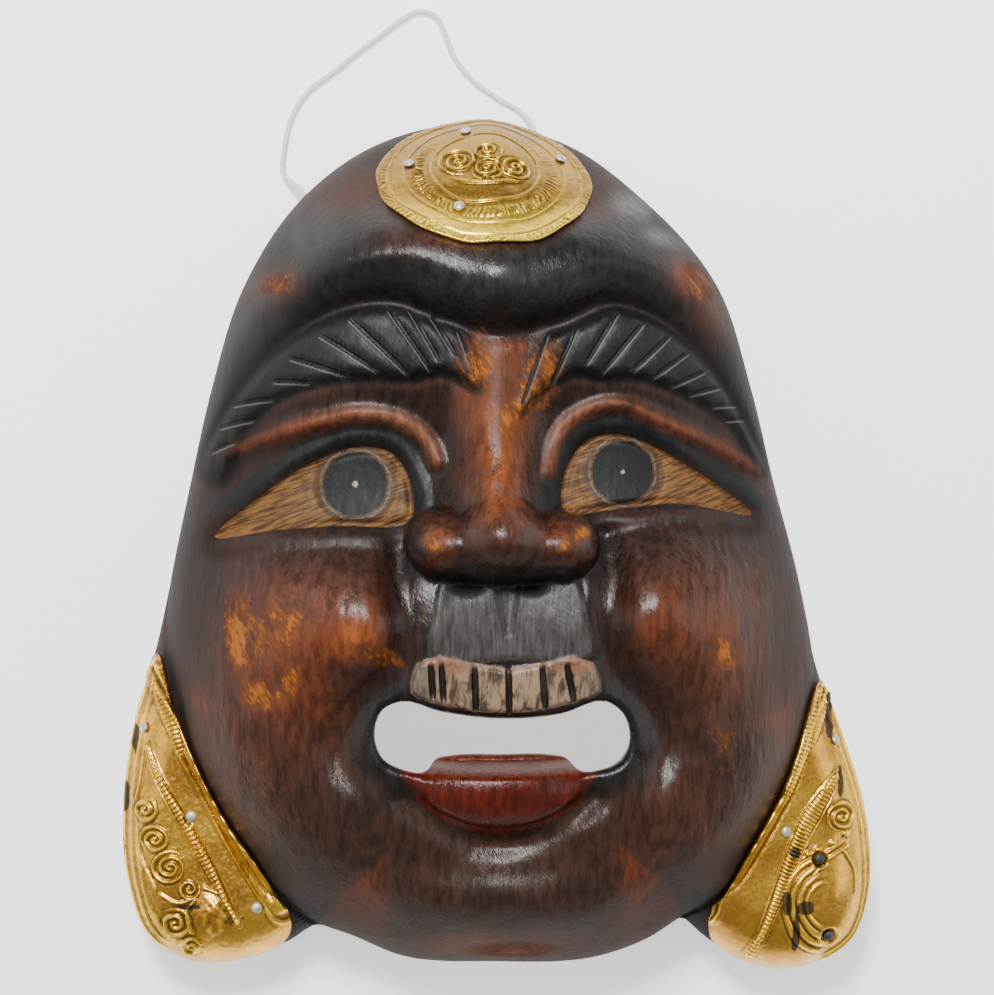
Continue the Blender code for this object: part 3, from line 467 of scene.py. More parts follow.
wood = {
    "columns": [150, 150, 66, 66], "faceRings": 212, "hollowRings": 12,
    "evenRings": 190, "evenReach": 0.96,  # beyond this share of the way the rings crowd to the edge
    "sideShares": [0.92, 0.6, 0.3, 0.06],  # of the edge's height, down the side
    "mouthAnchors": [(-42.6, -63), (0, -57), (42, -64), (0, -69.5)],  # west, north, east, south
    "rimAnchors": [(-122, -52), (-5, 150), (121, -56), (0, -150)],
    "facet": 0.30,  # how far the gouge left the face uneven, in shares
    "tones": {  # the stain and the painted shade and highlights laid over it, as linear colours
        "base": (0.036, 0.0145, 0.009), "darkStainAndShade": (0.008, 0.0045, 0.004), "red": (0.060, 0.016, 0.008),
        "rust": (0.12, 0.026, 0.006), "copper": (0.22, 0.055, 0.009), "sootAndShade": (0.0045, 0.0065, 0.0065),
        "chin": (0.026, 0.013, 0.009), "smudgeAndSheen": (0.30, 0.31, 0.31), "lip": (0.058, 0.0055, 0.002),
        "inner": (0.09, 0.018, 0.008), "bare": (0.21, 0.105, 0.045), "fold": (0.105, 0.031, 0.013),
        # the rosy tone is a painted highlight on the folds
        "rosy": (0.24, 0.105, 0.060),
    },
    # The dark patches under the nose, between and beside its wings, along the furrows beside it, under the
    # left cheek ball and at the mouth's corners are painted shade.
    "patches": [  # centre, half width, half height, strength, tone
        ((-60, -24), 34, 30, 0.6, "red"), ((-68, -40), 22, 24, 0.7, "rust"),
        # The copper on the left cheek ball is worn wood and also a painted highlight.
        ((-47, -29), 10, 9, 0.9, "copper"), ((60, -22), 32, 30, 0.6, "red"),
        ((52, -25), 12, 11, 0.6, "rust"), ((74, -34), 12, 16, 0.5, "rust"),
        ((-56, 3), 44, 11, 0.85, "darkStainAndShade"), ((58, 4), 44, 11, 0.8, "darkStainAndShade"),
        ((-34, -20), 9, 26, 0.85, "darkStainAndShade"), ((35, -20), 8, 26, 0.85, "darkStainAndShade"),
        ((0, -100), 60, 50, 0.75, "chin"), ((8, -139), 34, 8, 0.75, "rust"),
        ((-2, 58), 20, 26, 0.7, "rust"), ((-2, 28), 7, 24, 0.8, "copper"),
        ((0, 4), 34, 11, 0.35, "red"), ((-23, 2), 4, 4, 0.9, "copper"),
        ((18, 3), 8, 4, 0.7, "rust"), ((0, -8), 36, 9, 0.95, "darkStainAndShade"),
        ((-2, 0), 10, 6, 0.6, "darkStainAndShade"), ((-52, -42), 10, 7, 0.7, "darkStainAndShade"),
        ((-30, -3), 7, 9, 0.8, "darkStainAndShade"), ((30, -4), 7, 8, 0.8, "darkStainAndShade"),
        ((0, -5), 34, 6, 0.6, "darkStainAndShade"), ((-6, -137), 22, 6, 0.6, "copper"),
        ((62, -96), 24, 24, 0.3, "red"), ((-86, -66), 18, 40, 0.5, "red"),
        ((-36, -58), 14, 24, 0.75, "darkStainAndShade"), ((38, -60), 12, 24, 0.75, "darkStainAndShade"),
        ((-102, -20), 10, 40, 0.5, "darkStainAndShade")],
    "crownPatches": [
        ((-50, 121), 20, 11, 0.85, "red"), ((-78, 88), 10, 7, 0.7, "rust"),
        ((-24, 100), 20, 6, 0.6, "red"), ((64, 92), 8, 8, 0.9, "rust"),
        ((74, 80), 10, 12, 0.5, "rust"), ((46, 132), 16, 8, 0.4, "red"),
        ((47, 117), 8, 6, 0.6, "smudgeAndSheen"), ((58, 105), 9, 4, 0.4, "smudgeAndSheen"),
        ((-66, 108), 10, 11, 0.12, "smudgeAndSheen"), ((-86, 74), 12, 10, 0.05, "smudgeAndSheen"),
        # The last smudge, along the roll, is a painted sheen.
        ((4, 87), 34, 7, 0.05, "smudgeAndSheen")],
    "foldHighlightPlaces": [(-42, 42), (-29, 38), (20, 38)],  # painted highlights on the folds over the eyes
    "wornPlaces": [  # centre, half width, half height, turn, strength
        ((-77, -28), 14, 18, 0.25, 0.62), ((-88, -34), 5, 18, 0.1, 0.66),
        ((-79, -50), 7, 6, 0.0, 0.70), ((-70, -44), 4, 8, -0.3, 0.62),
        ((-80, -78), 6, 12, 0.1, 0.50), ((-42, -35), 12, 4, -0.35, 0.84),
        ((-62, -20), 12, 12, 0.0, 0.42), ((70, -28), 14, 14, 0.0, 0.50),
        ((74, -36), 6, 5, 0.0, 0.52), ((86, -10), 8, 14, 0.2, 0.42),
        ((72, -62), 7, 18, 0.1, 0.52), ((-23.5, 1), 3.4, 3.4, 0.0, 0.95),
        ((20, 1.5), 5, 2.6, 0.6, 0.84), ((26, 5), 2.4, 2.4, 0.0, 0.8),
        ((-9, 62), 9, 14, 0.0, 0.68), ((13, 58), 8, 14, 0.0, 0.66),
        ((2, 44), 9, 16, 0.0, 0.66), ((5, -139), 22, 6, 0.0, 0.62),
        ((68, 90), 9, 9, 0.0, 0.62), ((-76, 88), 8, 5, 0.0, 0.50),
        ((-5, -88), 12, 7, 0.0, 0.30)],
}


def matchedPlaces(line, anchors, counts):
    # Places round a closed line, evenly spaced from each anchor to the next, so many to a stretch.
    ring = np.vstack([line, line[:1]])
    travelled = distancesAlong(ring)
    starts = [travelled[np.argmin(np.hypot(*(line - np.array(anchor)).T))] for anchor in anchors]
    starts = np.unwrap(starts + starts[:1], period=travelled[-1])
    starts = starts + travelled[-1] * np.concatenate([[0], np.cumsum(np.diff(starts) <= 0)])
    spans = [np.linspace(start, finish, count, endpoint=False)
             for start, finish, count in zip(starts, starts[1:], counts)]
    return placesAlong(ring, np.concatenate(spans) % travelled[-1])


def woodRings():
    # Rings of points round the mouth: from its front edge over the face to the outline, down the
    # side, over the flat rim and the hollow, and back to the mouth. Returns drawn places and marks.
    f, w = features, wood
    centre = np.array(f["mouthCentre"])
    mouth = matchedPlaces(mouthLine, w["mouthAnchors"], w["columns"])
    rim = matchedPlaces(outline, w["rimAnchors"], w["columns"])
    bearing = np.arctan2(*(rim - centre).T[::-1])
    hollowLine = shiftedLine(faceLine, f["rimWidth"])
    hollow = centre + (np.stack([np.cos(bearing), np.sin(bearing)], axis=1)
                       * radiusAt(bearing, hollowLine, centre)[:, None])
    mouthBack = matchedPlaces(shiftedLine(mouthLine, -f["mouthSplay"]), w["mouthAnchors"], w["columns"])
    even, crowd = w["evenReach"], w["faceRings"] - w["evenRings"]
    share = np.concatenate([np.linspace(0, even, w["evenRings"], endpoint=False),
                            1 - (1 - even) * np.linspace(1, 0, crowd) ** 1.7])
    front = mouth + (rim - mouth) * share[:, None, None]
    marks = {}
    x, y = front[..., 0], front[..., 1]
    height = carve(x, y, marks)
    uneven = cloud(x, y, 9, 11) + 0.4 * latticeNoise(x * 1.6, y * 0.4, 2.4, 17)
    plain = blend(-marks["eye"] / 2) * blend(marks["edge"] / 4) * blend(np.hypot(x, y + 64) / 20 - 1.2)
    height = height + w["facet"] * uneven * (0.4 + 0.6 * plain)

    share = np.linspace(0, 1, w["hollowRings"])[:, None, None] ** 1.6
    back = hollow + (mouthBack - hollow) * share
    depth = insideDistance(back[..., 0], back[..., 1], hollowLine)
    backHeight = f["cavityDepth"] * rounded(depth, f["cavityReach"])
    sides = np.array(w["sideShares"])[:, None]
    places = np.concatenate([front, np.repeat(rim[None], len(sides) + 1, axis=0), back])
    heights = np.concatenate([height, height[-1] * sides, 0 * rim[None, :, 0], backHeight])
    points = np.concatenate([places, heights[..., None]], axis=-1)
    for name in marks:
        rest = np.repeat(marks[name][-1:], len(points) - len(front), axis=0)
        marks[name] = np.concatenate([marks[name], rest])
    marks["hollow"] = np.zeros(points.shape[:2])
    marks["hollow"][len(front) + len(sides) + 1:] = 1
    return points, marks


def stainAndShadeTones(points, marks):
    # The stain and the painted light as one colour a point: a dark brown ground, soot over the
    # roll, temples and brows, red and copper where it is thin, painted highlights on the folds and the
    # roll, and painted shade in the creases, sockets, under the nose, round the mouth and towards the
    # outline. Wear is how near the bare, orange wood a place is; the material breaks it into flecks.
    tones = {name: np.array(tone) for name, tone in wood["tones"].items()}
    x, y, z = points[..., 0], points[..., 1], points[..., 2]
    grain = cloud(x * 1.3, y * 0.4, 6, 31, 4)
    patch = cloud(x, y, 30, 41, 4)
    proud = (z - softened(z, 60)) / 1.6
    proud = proud * blend(np.hypot(x / 1.25, y + 64) / 12 - 3.2) * blend(marks["edge"] / 6)
    colour = np.broadcast_to(tones["base"], points.shape).copy()

    def cover(tone, amount):
        amount = np.clip(amount, 0, 1)[..., None]
        colour[...] = colour * (1 - amount) + tones[tone] * amount

    cover("darkStainAndShade", 0.35 * blend(0.5 + patch) + 0.15 * grain)
    for centre, width, height, strength, tone in wood["patches"]:
        cover(tone, mound(x, y, centre, width, height) * strength * (0.85 + 0.35 * grain))
    upper = 33 + 12 * blend((np.abs(x + 2) - 28) / 34) + 5 * patch
    onRoll = blend(marks["roll"] / 5 + 1.1) * blend((upper - marks["roll"]) / 12)
    cover("sootAndShade", onRoll * (0.94 + 0.1 * grain))
    for centre, width, height, strength, tone in wood["crownPatches"]:
        cover(tone, mound(x, y, centre, width, height) * strength * (0.8 + 0.5 * grain))
    cover("sootAndShade", blend(marks["brow"] / 1.5 + 1) * 0.96)
    # Painted shade in the eye sockets under the brows.
    socket = mound(x, y, (0, 45), 100, 22) * blend(-marks["brow"] / 2 - 0.5) * blend(-marks["eye"])
    cover("darkStainAndShade", 0.85 * socket * blend((np.abs(x + 1) - 11) / 8) * blend((marks["fold"] - 2.5) / 2))
    cover("fold", 0.95 * lineSwell(marks["fold"], 2.2) * blend(1.4 - np.abs(np.abs(x) - 45) / 50))
    # A painted highlight on the inner parts of the folds.
    for place in wood["foldHighlightPlaces"]:
        onFold = lineSwell(marks["fold"], 1.7) * mound(x, y, place, 12, 8)
        cover("rosy", 0.75 * onFold * (0.7 + 0.6 * grain))
    onNose = mound(x, y, (0, 2), 40, 17)
    cover("rust", 0.5 * blend(proud - 0.4) * blend(1 - marks["roll"] / 6) * blend(-marks["brow"] / 2)
          * (1 - 0.85 * onNose) * blend(-marks["eye"] / 6 - 1.3))
    cover("lip", blend(marks["lip"] / 1.2 + 0.4))
    cover("inner", marks["ledge"])
    # Painted shade, darker towards the outline and down the sides.
    cover("darkStainAndShade", 0.55 * (1 - blend(marks["edge"] / 34)) * (1 - marks["hollow"]))
    # Painted shade in the sunk places and creases.
    cover("darkStainAndShade", 0.75 * blend(-proud - 0.3) * blend(1 - marks["eye"] / 2))
    # Painted shade where the face turns into the mouth.
    byMouth = blend(1.4 - marks["mouth"] / 9) * (1 - marks["ledge"])
    cover("sootAndShade", 0.7 * byMouth * blend(1 - marks["lip"] / 2))
    lid = blend(-marks["eye"] / 1.2) * blend((8.5 + marks["eye"]) / 2) * blend((marks["fold"] - 2) / 2)
    cover("sootAndShade", 0.92 * lid * (y > 12))
    cover("bare", marks["hollow"] * (0.9 + 0.2 * grain))
    wear = sum(mound(x, y, centre, width, height, turn) * strength
               for centre, width, height, turn, strength in wood["wornPlaces"])
    return colour, np.clip(wear + 0.12 * blend(proud), 0, 1)


def addWood():
    # The carved face, its sides, rim and hollow as one closed grid of rings, with its marks.
    points, marks = woodRings()
    columns = sum(wood["columns"])
    faces = ringFaces(len(points), columns, True)
    piece = fillMesh("carvedWood", placed(points.reshape(-1, 3)), faces)
    colour, wear = stainAndShadeTones(points, marks)
    addTones(piece, "stainAndShade", colour.reshape(-1, 3))
    marks["wear"] = wear
    for name in ("eye", "pupil", "fold", "gum", "teeth", "lip", "hollow", "edge", "brow", "philtrum",
                 "cutCount", "cutGap", "cutReach", "wear"):
        addMark(piece, name, marks[name])
    return piece


# Node helpers

class Maker:
    # Short ways to add and join the nodes of one material.
    def __init__(self, name):
        self.material = bpy.data.materials.new(name)
        self.material.use_nodes = True
        self.nodes, self.links = self.material.node_tree.nodes, self.material.node_tree.links
        self.shader = self.nodes["Principled BSDF"]
        self.place = self.add("ShaderNodeTexCoord").outputs["Object"]

    def add(self, kind, **settings):
        node = self.nodes.new(kind)
        for name, value in settings.items():
            setattr(node, name, value)
        return node

    def feed(self, socket, value):
        if isinstance(value, bpy.types.NodeSocket):
            self.links.new(value, socket)
        elif isinstance(value, (tuple, list)) and len(value) == 3 and socket.type == "RGBA":
            socket.default_value = (*value, 1)
        else:
            socket.default_value = value

    def math(self, operation, *values, clamp=False):
        node = self.add("ShaderNodeMath", operation=operation, use_clamp=clamp)
        for socket, value in zip(node.inputs, values):
            self.feed(socket, value)
        return node.outputs[0]

    def plus(self, first, *others):
        for other in others:
            first = self.math("ADD", first, other)
        return first

    def minus(self, first, second):
        return self.math("SUBTRACT", first, second)

    def times(self, first, *others):
        for other in others:
            first = self.math("MULTIPLY", first, other)
        return first

    def off(self, value, place):  # how far a value is from a place
        return self.math("ABSOLUTE", self.minus(value, place))

    def mark(self, name, output="Fac"):
        return self.add("ShaderNodeAttribute", attribute_name=name).outputs[output]

    def along(self, axis):
        node = self.add("ShaderNodeSeparateXYZ")
        self.feed(node.inputs[0], self.place)
        return node.outputs[axis]

    def stretch(self, scale, turn=0.0):
        turned = self.add("ShaderNodeMapping")
        self.feed(turned.inputs["Vector"], self.place)
        turned.inputs["Rotation"].default_value = (0, 0, turn)
        node = self.add("ShaderNodeMapping")
        self.feed(node.inputs["Vector"], turned.outputs[0])
        node.inputs["Scale"].default_value = scale
        return node.outputs[0]

    def noise(self, scale, detail=4.0, roughness=0.55, vector=None, distortion=0.0):
        node = self.add("ShaderNodeTexNoise")
        self.feed(node.inputs["Vector"], self.place if vector is None else vector)
        for name, value in (("Scale", scale), ("Detail", detail), ("Roughness", roughness),
                            ("Distortion", distortion)):
            node.inputs[name].default_value = value
        return node.outputs["Fac"]

    def ramp(self, value, low, high, start=0.0, finish=1.0, smooth=True):
        node = self.add("ShaderNodeMapRange", clamp=True)
        node.interpolation_type = "SMOOTHSTEP" if smooth else "LINEAR"
        for name, number in (("Value", value), ("From Min", low), ("From Max", high), ("To Min", start),
                             ("To Max", finish)):
            self.feed(node.inputs[name], number)
        return node.outputs[0]

    def mix(self, share, first, second, blending="MIX"):
        node = self.add("ShaderNodeMix", data_type="RGBA", blend_type=blending)
        self.feed(node.inputs["Factor"], share)
        self.feed(node.inputs[6], first)
        self.feed(node.inputs[7], second)
        return node.outputs[2]

    def bump(self, height, strength, distance, normal=None):
        node = self.add("ShaderNodeBump")
        node.inputs["Strength"].default_value = strength
        node.inputs["Distance"].default_value = distance
        self.feed(node.inputs["Height"], height)
        if normal is not None:
            self.feed(node.inputs["Normal"], normal)
        return node.outputs[0]

    def set(self, **values):
        for name, value in values.items():
            self.feed(self.shader.inputs[name], value)


paint = {  # linear colours
    "thinStroke": (0.60, 0.60, 0.60), "thickStroke": (1.45, 1.42, 1.40),  # these two multiply the stain
    "blotch": (0.010, 0.007, 0.006), "cut": (0.006, 0.006, 0.006), "gleam": (0.085, 0.090, 0.085),
    "wornWood": (0.135, 0.035, 0.002), "wornDark": (0.060, 0.017, 0.005),
    "wornBright": (0.30, 0.085, 0.001), "eyeWhite": (0.165, 0.076, 0.020),
    "eyeGrain": (0.050, 0.021, 0.007), "eyeShade": (0.030, 0.020, 0.013),
    "pupil": (0.004, 0.0045, 0.0045), "dot": (0.30, 0.24, 0.17), "gum": (0.056, 0.049, 0.046),
    "gumDark": (0.022, 0.018, 0.016), "noseShadowOnGum": (0.010, 0.008, 0.007),
    "tooth": (0.23, 0.150, 0.095), "toothDark": (0.05, 0.033, 0.022),
    "toothEnd": (0.090, 0.074, 0.062), "rosyStrip": (0.20, 0.090, 0.052),
}


def bareFlecks(m, colour, slanted, fine):
    # Noises are added to the wear and a ramp cuts the sum into ragged flecks. Within them a cloud
    # of its own sets darker and brighter wood.
    ragged = m.plus(m.noise(190, 8, 0.74, m.stretch((1.2, 0.8, 1.0)), 0.5), m.times(slanted, 0.9),
                    m.times(fine, 0.4))
    bareness = m.plus(m.mark("wear"), m.minus(ragged, 1.15))
    cloudy = m.plus(m.noise(130, 5, 0.6, m.stretch((1.0, 0.6, 1.0))), m.times(slanted, 0.4))
    tone = m.mix(m.ramp(cloudy, 0.58, 0.82), paint["wornDark"], paint["wornWood"])
    shining = m.plus(bareness, m.times(m.minus(cloudy, 0.7), 1.4))
    tone = m.mix(m.ramp(shining, 0.78, 1.12), tone, paint["wornBright"])
    return m.mix(m.ramp(bareness, 0.36, 0.74, 0.0, 0.88), colour, tone)


def paintedEyes(m, colour, fine):
    # Streaked eye whites, a shade and a broken ring round each pupil, the pupil, and a dot in it.
    pupil = m.mark("pupil")
    inEye = m.ramp(m.mark("eye"), -0.1, 0.25)
    grain = m.noise(1500, 3, 0.55, m.stretch((0.07, 1.0, 0.07), math.radians(-20)))
    white = m.mix(m.ramp(grain, 0.40, 0.58), paint["eyeGrain"], paint["eyeWhite"])
    white = m.mix(m.ramp(m.noise(150, 3), 0.50, 0.66, 0.0, 0.6), white, paint["eyeGrain"])
    colour = m.mix(inEye, colour, white)
    wobble = m.plus(pupil, m.times(m.minus(m.noise(240, 3), 0.5), 1.6))
    broken = m.ramp(m.noise(330, 4, 0.6), 0.42, 0.58)
    shade = m.times(m.ramp(wobble, 2.2, 3.6, 1, 0), m.plus(m.times(broken, 0.3), 0.5))
    colour = m.mix(m.times(inEye, shade), colour, paint["eyeShade"])
    ringed = m.times(m.ramp(m.off(wobble, 1.1), 0.1, 0.42, 1, 0), broken, 0.30)
    colour = m.mix(m.times(inEye, ringed), colour, paint["dot"])
    colour = m.mix(m.times(inEye, m.ramp(wobble, -0.1, 0.25, 1, 0)), colour, paint["pupil"])
    dotted = m.ramp(m.plus(pupil, m.times(fine, 0.8)), -9.4, -8.9, 1, 0)
    return m.mix(dotted, colour, paint["dot"])


def paintedMouth(m, colour, fine):
    # The gum, streaked upwards, with the nose's shadow painted along its top, painted shade along the
    # edges of its groove and in a dark seam round it, and the blotched teeth, greyer at the ends and rosy
    # along their top.
    gum = m.mark("gum")
    fromMiddle = m.math("ABSOLUTE", m.along("X"))
    streaks = m.noise(900, 5, 0.62, m.stretch((1.0, 0.12, 1.0)))
    gumTone = m.mix(m.ramp(streaks, 0.34, 0.66), paint["gumDark"], paint["gum"])
    # Painted shadow of the nose on the gum's top.
    gumTone = m.mix(m.ramp(m.along("Y"), -0.0185, -0.0120), gumTone, paint["noseShadowOnGum"])
    colour = m.mix(m.ramp(gum, -0.2, 0.5), colour, gumTone)
    # Painted shade in the seam round the gum.
    colour = m.mix(m.ramp(m.off(gum, -0.9), 0.4, 1.2, 0.9, 0), colour, paint["cut"])
    # Painted shade along the edges of the gum's groove.
    wedge = m.ramp(m.off(m.mark("philtrum"), 0.3), 0.1, 0.9, 1, 0)
    colour = m.mix(m.times(wedge, m.ramp(gum, 0, 0.6), 0.75), colour, paint["gumDark"])
    blotches = m.noise(380, 5, 0.65, m.stretch((1.0, 0.3, 1.0)), 0.4)
    toothTone = m.mix(m.ramp(blotches, 0.38, 0.58), paint["toothDark"], paint["tooth"])
    toothTone = m.mix(m.ramp(fromMiddle, 0.021, 0.029, 0.0, 0.55), toothTone, paint["toothEnd"])
    rosy = m.times(m.ramp(gum, -3.2, -2.5), m.ramp(fromMiddle, 0.008, 0.018),
                   m.ramp(fine, 0.40, 0.52, 0.3, 0.9))
    toothTone = m.mix(rosy, toothTone, paint["rosyStrip"])
    return m.mix(m.ramp(m.mark("teeth"), -0.2, 0.5), colour, toothTone)


def cutLines(m, colour):
    # A dark line of painted shade along each cut of the brows and teeth, tapered to its ends and
    # wider in the teeth, and in the brows a pale line beside it. Returns the dark line too, for the bump.
    gap, reach = m.mark("cutGap"), m.mark("cutReach")
    count = m.mark("cutCount")
    offCut = m.times(m.minus(count, m.math("ROUND", m.math("MAXIMUM", count, 0.0))), gap)
    across = m.minus(m.math("ABSOLUTE", offCut), m.ramp(m.mark("teeth"), -1, 0.5, 0.0, 0.4))
    present = m.ramp(reach, -0.3, 1.8)
    narrow = m.ramp(reach, 0.0, 4.0, 0.3, 0.0, False)
    groove = m.times(present, m.ramp(m.plus(across, narrow), 0.40, 0.85, 1, 0))
    # Painted shade along each cut.
    colour = m.mix(m.times(groove, 0.92), colour, paint["cut"])
    beside = m.times(present, m.ramp(m.off(offCut, 1.05), 0.1, 0.45, 1, 0))
    beside = m.times(beside, m.ramp(m.mark("brow"), 0.0, 1.0), 0.75)
    return m.mix(beside, colour, paint["gleam"]), groove


def woodRoughness(m, strokes):
    # Polished along the strokes, and duller where the wood is painted, worn, folded or sunk, on the
    # brows and down the sides. The lip is a little smoother, and the hollow is the dullest.
    eye = m.mark("eye")
    rough = m.plus(m.ramp(strokes, 0.3, 0.7, 0.24, 0.36),
                   m.ramp(m.mark("gum"), 0, 1, 0.0, 0.12),
                   m.ramp(eye, -0.1, 0.25, 0.0, 0.30),
                   m.ramp(m.mark("wear"), 0.3, 0.6, 0.0, 0.22),
                   m.ramp(m.mark("fold"), 2.0, 4.5, 0.20, 0.0),
                   m.times(m.ramp(eye, -9, -4, 0.0, 0.20), m.ramp(eye, 0, 0.3, 1, 0)),
                   m.ramp(m.mark("brow"), -4.5, 0.0, 0.0, 0.20),
                   m.ramp(m.mark("edge"), 4, 46, 0.50, 0.0))
    rough = m.minus(rough, m.ramp(m.mark("lip"), 0, 1, 0.0, 0.05))
    return m.math("ADD", rough, m.times(m.mark("hollow"), 0.35), clamp=True)


def woodMaterial():
    # The stain and painted shade of each point, streaked by stretched noises and blotched, then the
    # flecks of bare wood, the painted eyes, gum and teeth, and painted shade in the cuts. Strokes and
    # cuts also drive the bump.
    m = Maker("stainedWood")
    strokes = m.noise(420, 5, 0.62, m.stretch((1.0, 0.22, 1.0)))
    slanted = m.noise(700, 4, 0.6, m.stretch((1.0, 0.25, 1.0), math.radians(-38)))
    fine = m.noise(1700, 4, 0.65, m.stretch((1.0, 0.35, 1.0)))
    streak = m.mix(m.ramp(strokes, 0.3, 0.7), paint["thinStroke"], paint["thickStroke"])
    colour = m.mix(1.0, m.mark("stainAndShade", "Color"), streak, "MULTIPLY")
    blotch = m.noise(55, 6, 0.62, distortion=0.5)
    colour = m.mix(m.ramp(blotch, 0.50, 0.70, 0.0, 0.45), colour, paint["blotch"])
    colour = bareFlecks(m, colour, slanted, fine)
    colour = paintedEyes(m, colour, fine)
    colour = paintedMouth(m, colour, fine)
    colour, groove = cutLines(m, colour)
    carved = m.minus(m.plus(m.times(strokes, 0.8), m.times(slanted, 0.5)), m.times(groove, 1.6))
    grooves = m.bump(carved, 0.8, 0.0004)
    m.set(**{"Base Color": colour, "Roughness": woodRoughness(m, strokes),
             "Normal": m.bump(fine, 0.6, 0.00016, grooves)})
    m.shader.inputs["Specular IOR Level"].default_value = 0.28
    return m.material


# Brass plates

brassPlates = {
    "thickness": 0.6, "clearance": 1.0, "columns": 140, "rings": 48, "backRings": 6,
    "finerSteps": 3, "deepest": -0.45,  # no groove goes deeper than this
    "blur": 4,  # over so many places the level is taken that the relief mark is measured from
    "medallion": {"centre": (-5.7, 127), "lean": math.radians(50), "radius": 36.5, "inset": 0.7,
                  "columns": 130, "rings": 44,
                  "nails": [(-30.6, 127), (-11, 140), (-14.7, 110.5), (20.3, 130)],
                  "curls": [((-8.5, 2.0), 6.0, 2.2, 1), ((0.8, -3.5), 4.6, 1.9, -1),
                            ((9.3, -1.5), 5.6, 2.2, -1), ((1, 6), 4.0, 1.6, 1)]},
    "left": {"outline": [(-117, -39), (-126, -62), (-129, -92), (-127, -118), (-120, -136),
                         (-108, -144), (-88, -144), (-76, -140), (-72, -132), (-75, -122),
                         (-94, -92), (-110, -58)],
             "centre": (-104, -106), "margin": 2,
             "nails": [(-120.5, -64), (-105.4, -93.5), (-83, -125)],
             "inner": [(-117, -44), (-109.5, -61), (-93.5, -93.5), (-74.5, -125)],
             "rope": {"line": [(-119.5, -70), (-116, -80), (-106, -98.6), (-97, -115.8),
                               (-89.5, -130)],
                      "widths": ([0, 25, 48, 62], [0.6, 1.5, 1.9, 1.0]),
                      "spacing": 1.6, "height": 1.3, "beside": (0.3, 0.4)},
             "curls": [((-120.5, -91.5), 3.6, 1.7, 1), ((-117.2, -101.5), 4.2, 2.0, 1),
                       ((-112.4, -111), 5.0, 2.2, -1), ((-106.0, -118.3), 3.0, 1.4, 1),
                       ((-110.5, -130), 4.2, 1.7, 1), ((-105.5, -138.5), 3.0, 1.4, -1)],
             "strokes": [[(-121, -74), (-122, -82), (-123.5, -88)],
                         [(-123, -98), (-121.5, -108), (-117, -118)],
                         [(-122, -112), (-119, -124), (-113, -134)],
                         [(-104, -122), (-107, -126), (-105, -133)],
                         [(-115, -120), (-110, -123), (-105, -122)],
                         [(-101, -118), (-98, -119), (-93, -122)]]},
    "right": {"outline": [(115, -50), (124, -72), (132, -102), (132, -124), (126, -140),
                          (108, -150), (90, -148), (78, -140), (76, -130), (80, -119), (97, -87)],
              "centre": (108, -112), "margin": 2,
              "nails": [(118.4, -70), (101, -100.7), (112.7, -110.3), (115.5, -136.5)],
              "inner": [(114.5, -53), (97.5, -88), (80.5, -119), (76.5, -131)],
              "rope": {"line": [(118.5, -82), (107, -101), (101, -115), (94.5, -132), (90, -144)],
                       "widths": ([0, 15, 40, 60], [1.3, 2.8, 2.0, 1.2]),
                       "spacing": 1.35, "height": 1.2, "beside": (0.35, 0.5)},
              "curls": [((120.3, -96), 4.4, 2.0, 1)],
              "studs": [(121.7, -101.9), (117.2, -104.8), (112, -107), (114.2, -86),
                        (108.5, -108.5)],
              "strokes": [[(121, -104), (114, -109), (107, -116)],
                          [(122, -106), (116, -110), (110, -116)],
                          [(114, -87), (111, -93), (108, -98)],
                          [(121, -108), (124, -114), (124, -122)]]},
    "tarnish": [  # centre, half width, half height
        ((101, -125.5), 1.6, 4), ((107.5, -127), 3, 2.4), ((104.2, -135.5), 1.3, 6),
        ((104, -108), 2, 2), ((116.5, -61), 1.6, 8), ((120, -84), 1.2, 5), ((-127.5, -88), 1.4, 5),
        ((-124, -68), 1.2, 5), ((-128.5, -106), 1.3, 3), ((-106, -124.5), 4, 0.8)],
    "tones": {
        "dull": (0.48, 0.230, 0.034), "bright": (0.80, 0.45, 0.050),
        # the crown's tones are a darker, shaded copy of the others, and its brim tone a painted highlight
        "crownDull": (0.24, 0.128, 0.022), "crownBright": (0.37, 0.20, 0.024),
        "crownBrimHighlight": (1.0, 0.70, 0.06), "raised": (1.0, 0.64, 0.035),
        "groove": (0.09, 0.045, 0.012), "tarnish": (0.020, 0.019, 0.018)},
}


def beads(along, distance, spacing, width, height):
    # A rope of beads on a line: a round swell across it, cut into beads along it.
    across = np.clip(1 - (distance / width) ** 2, 0, 1)
    return height * np.sqrt(across) * (0.45 + 0.55 * np.abs(np.sin(math.pi * along / spacing)))


def ridge(distance, width, height):
    return height * np.exp(-(distance / width) ** 2)


def spiral(x, y, centre, radius, turns, start=0.0, hand=1):
    # The distance to a spiral that winds out evenly from its middle to the given radius.
    east, north = x - centre[0], (y - centre[1]) * hand
    out = np.hypot(east, north)
    turn = (np.arctan2(north, east) - start) / (2 * math.pi)
    pitch = radius / turns
    offset = (out / pitch - turn) % 1.0
    distance = np.minimum(offset, 1 - offset) * pitch
    return np.where(out < radius + pitch * 0.3, distance, 10.0)


def raisedCurls(x, y, relief, curls, width=0.45, height=0.9, start=1.0):
    # Fine raised spirals, each given by its centre, radius, turns and hand.
    for centre, radius, turns, hand in curls:
        distance = spiral(x, y, centre, radius, turns, start, hand)
        relief = np.maximum(relief, ridge(distance, width, height))
    return relief


def raisedStrokes(x, y, relief, strokes):  # fine raised lines along the given runs of points
    for run in strokes:
        distance = lineDistance(x, y, smoothLine(run, False, 3), False, 20)[0]
        relief = np.maximum(relief, ridge(distance, 0.45, 0.7))
    return relief


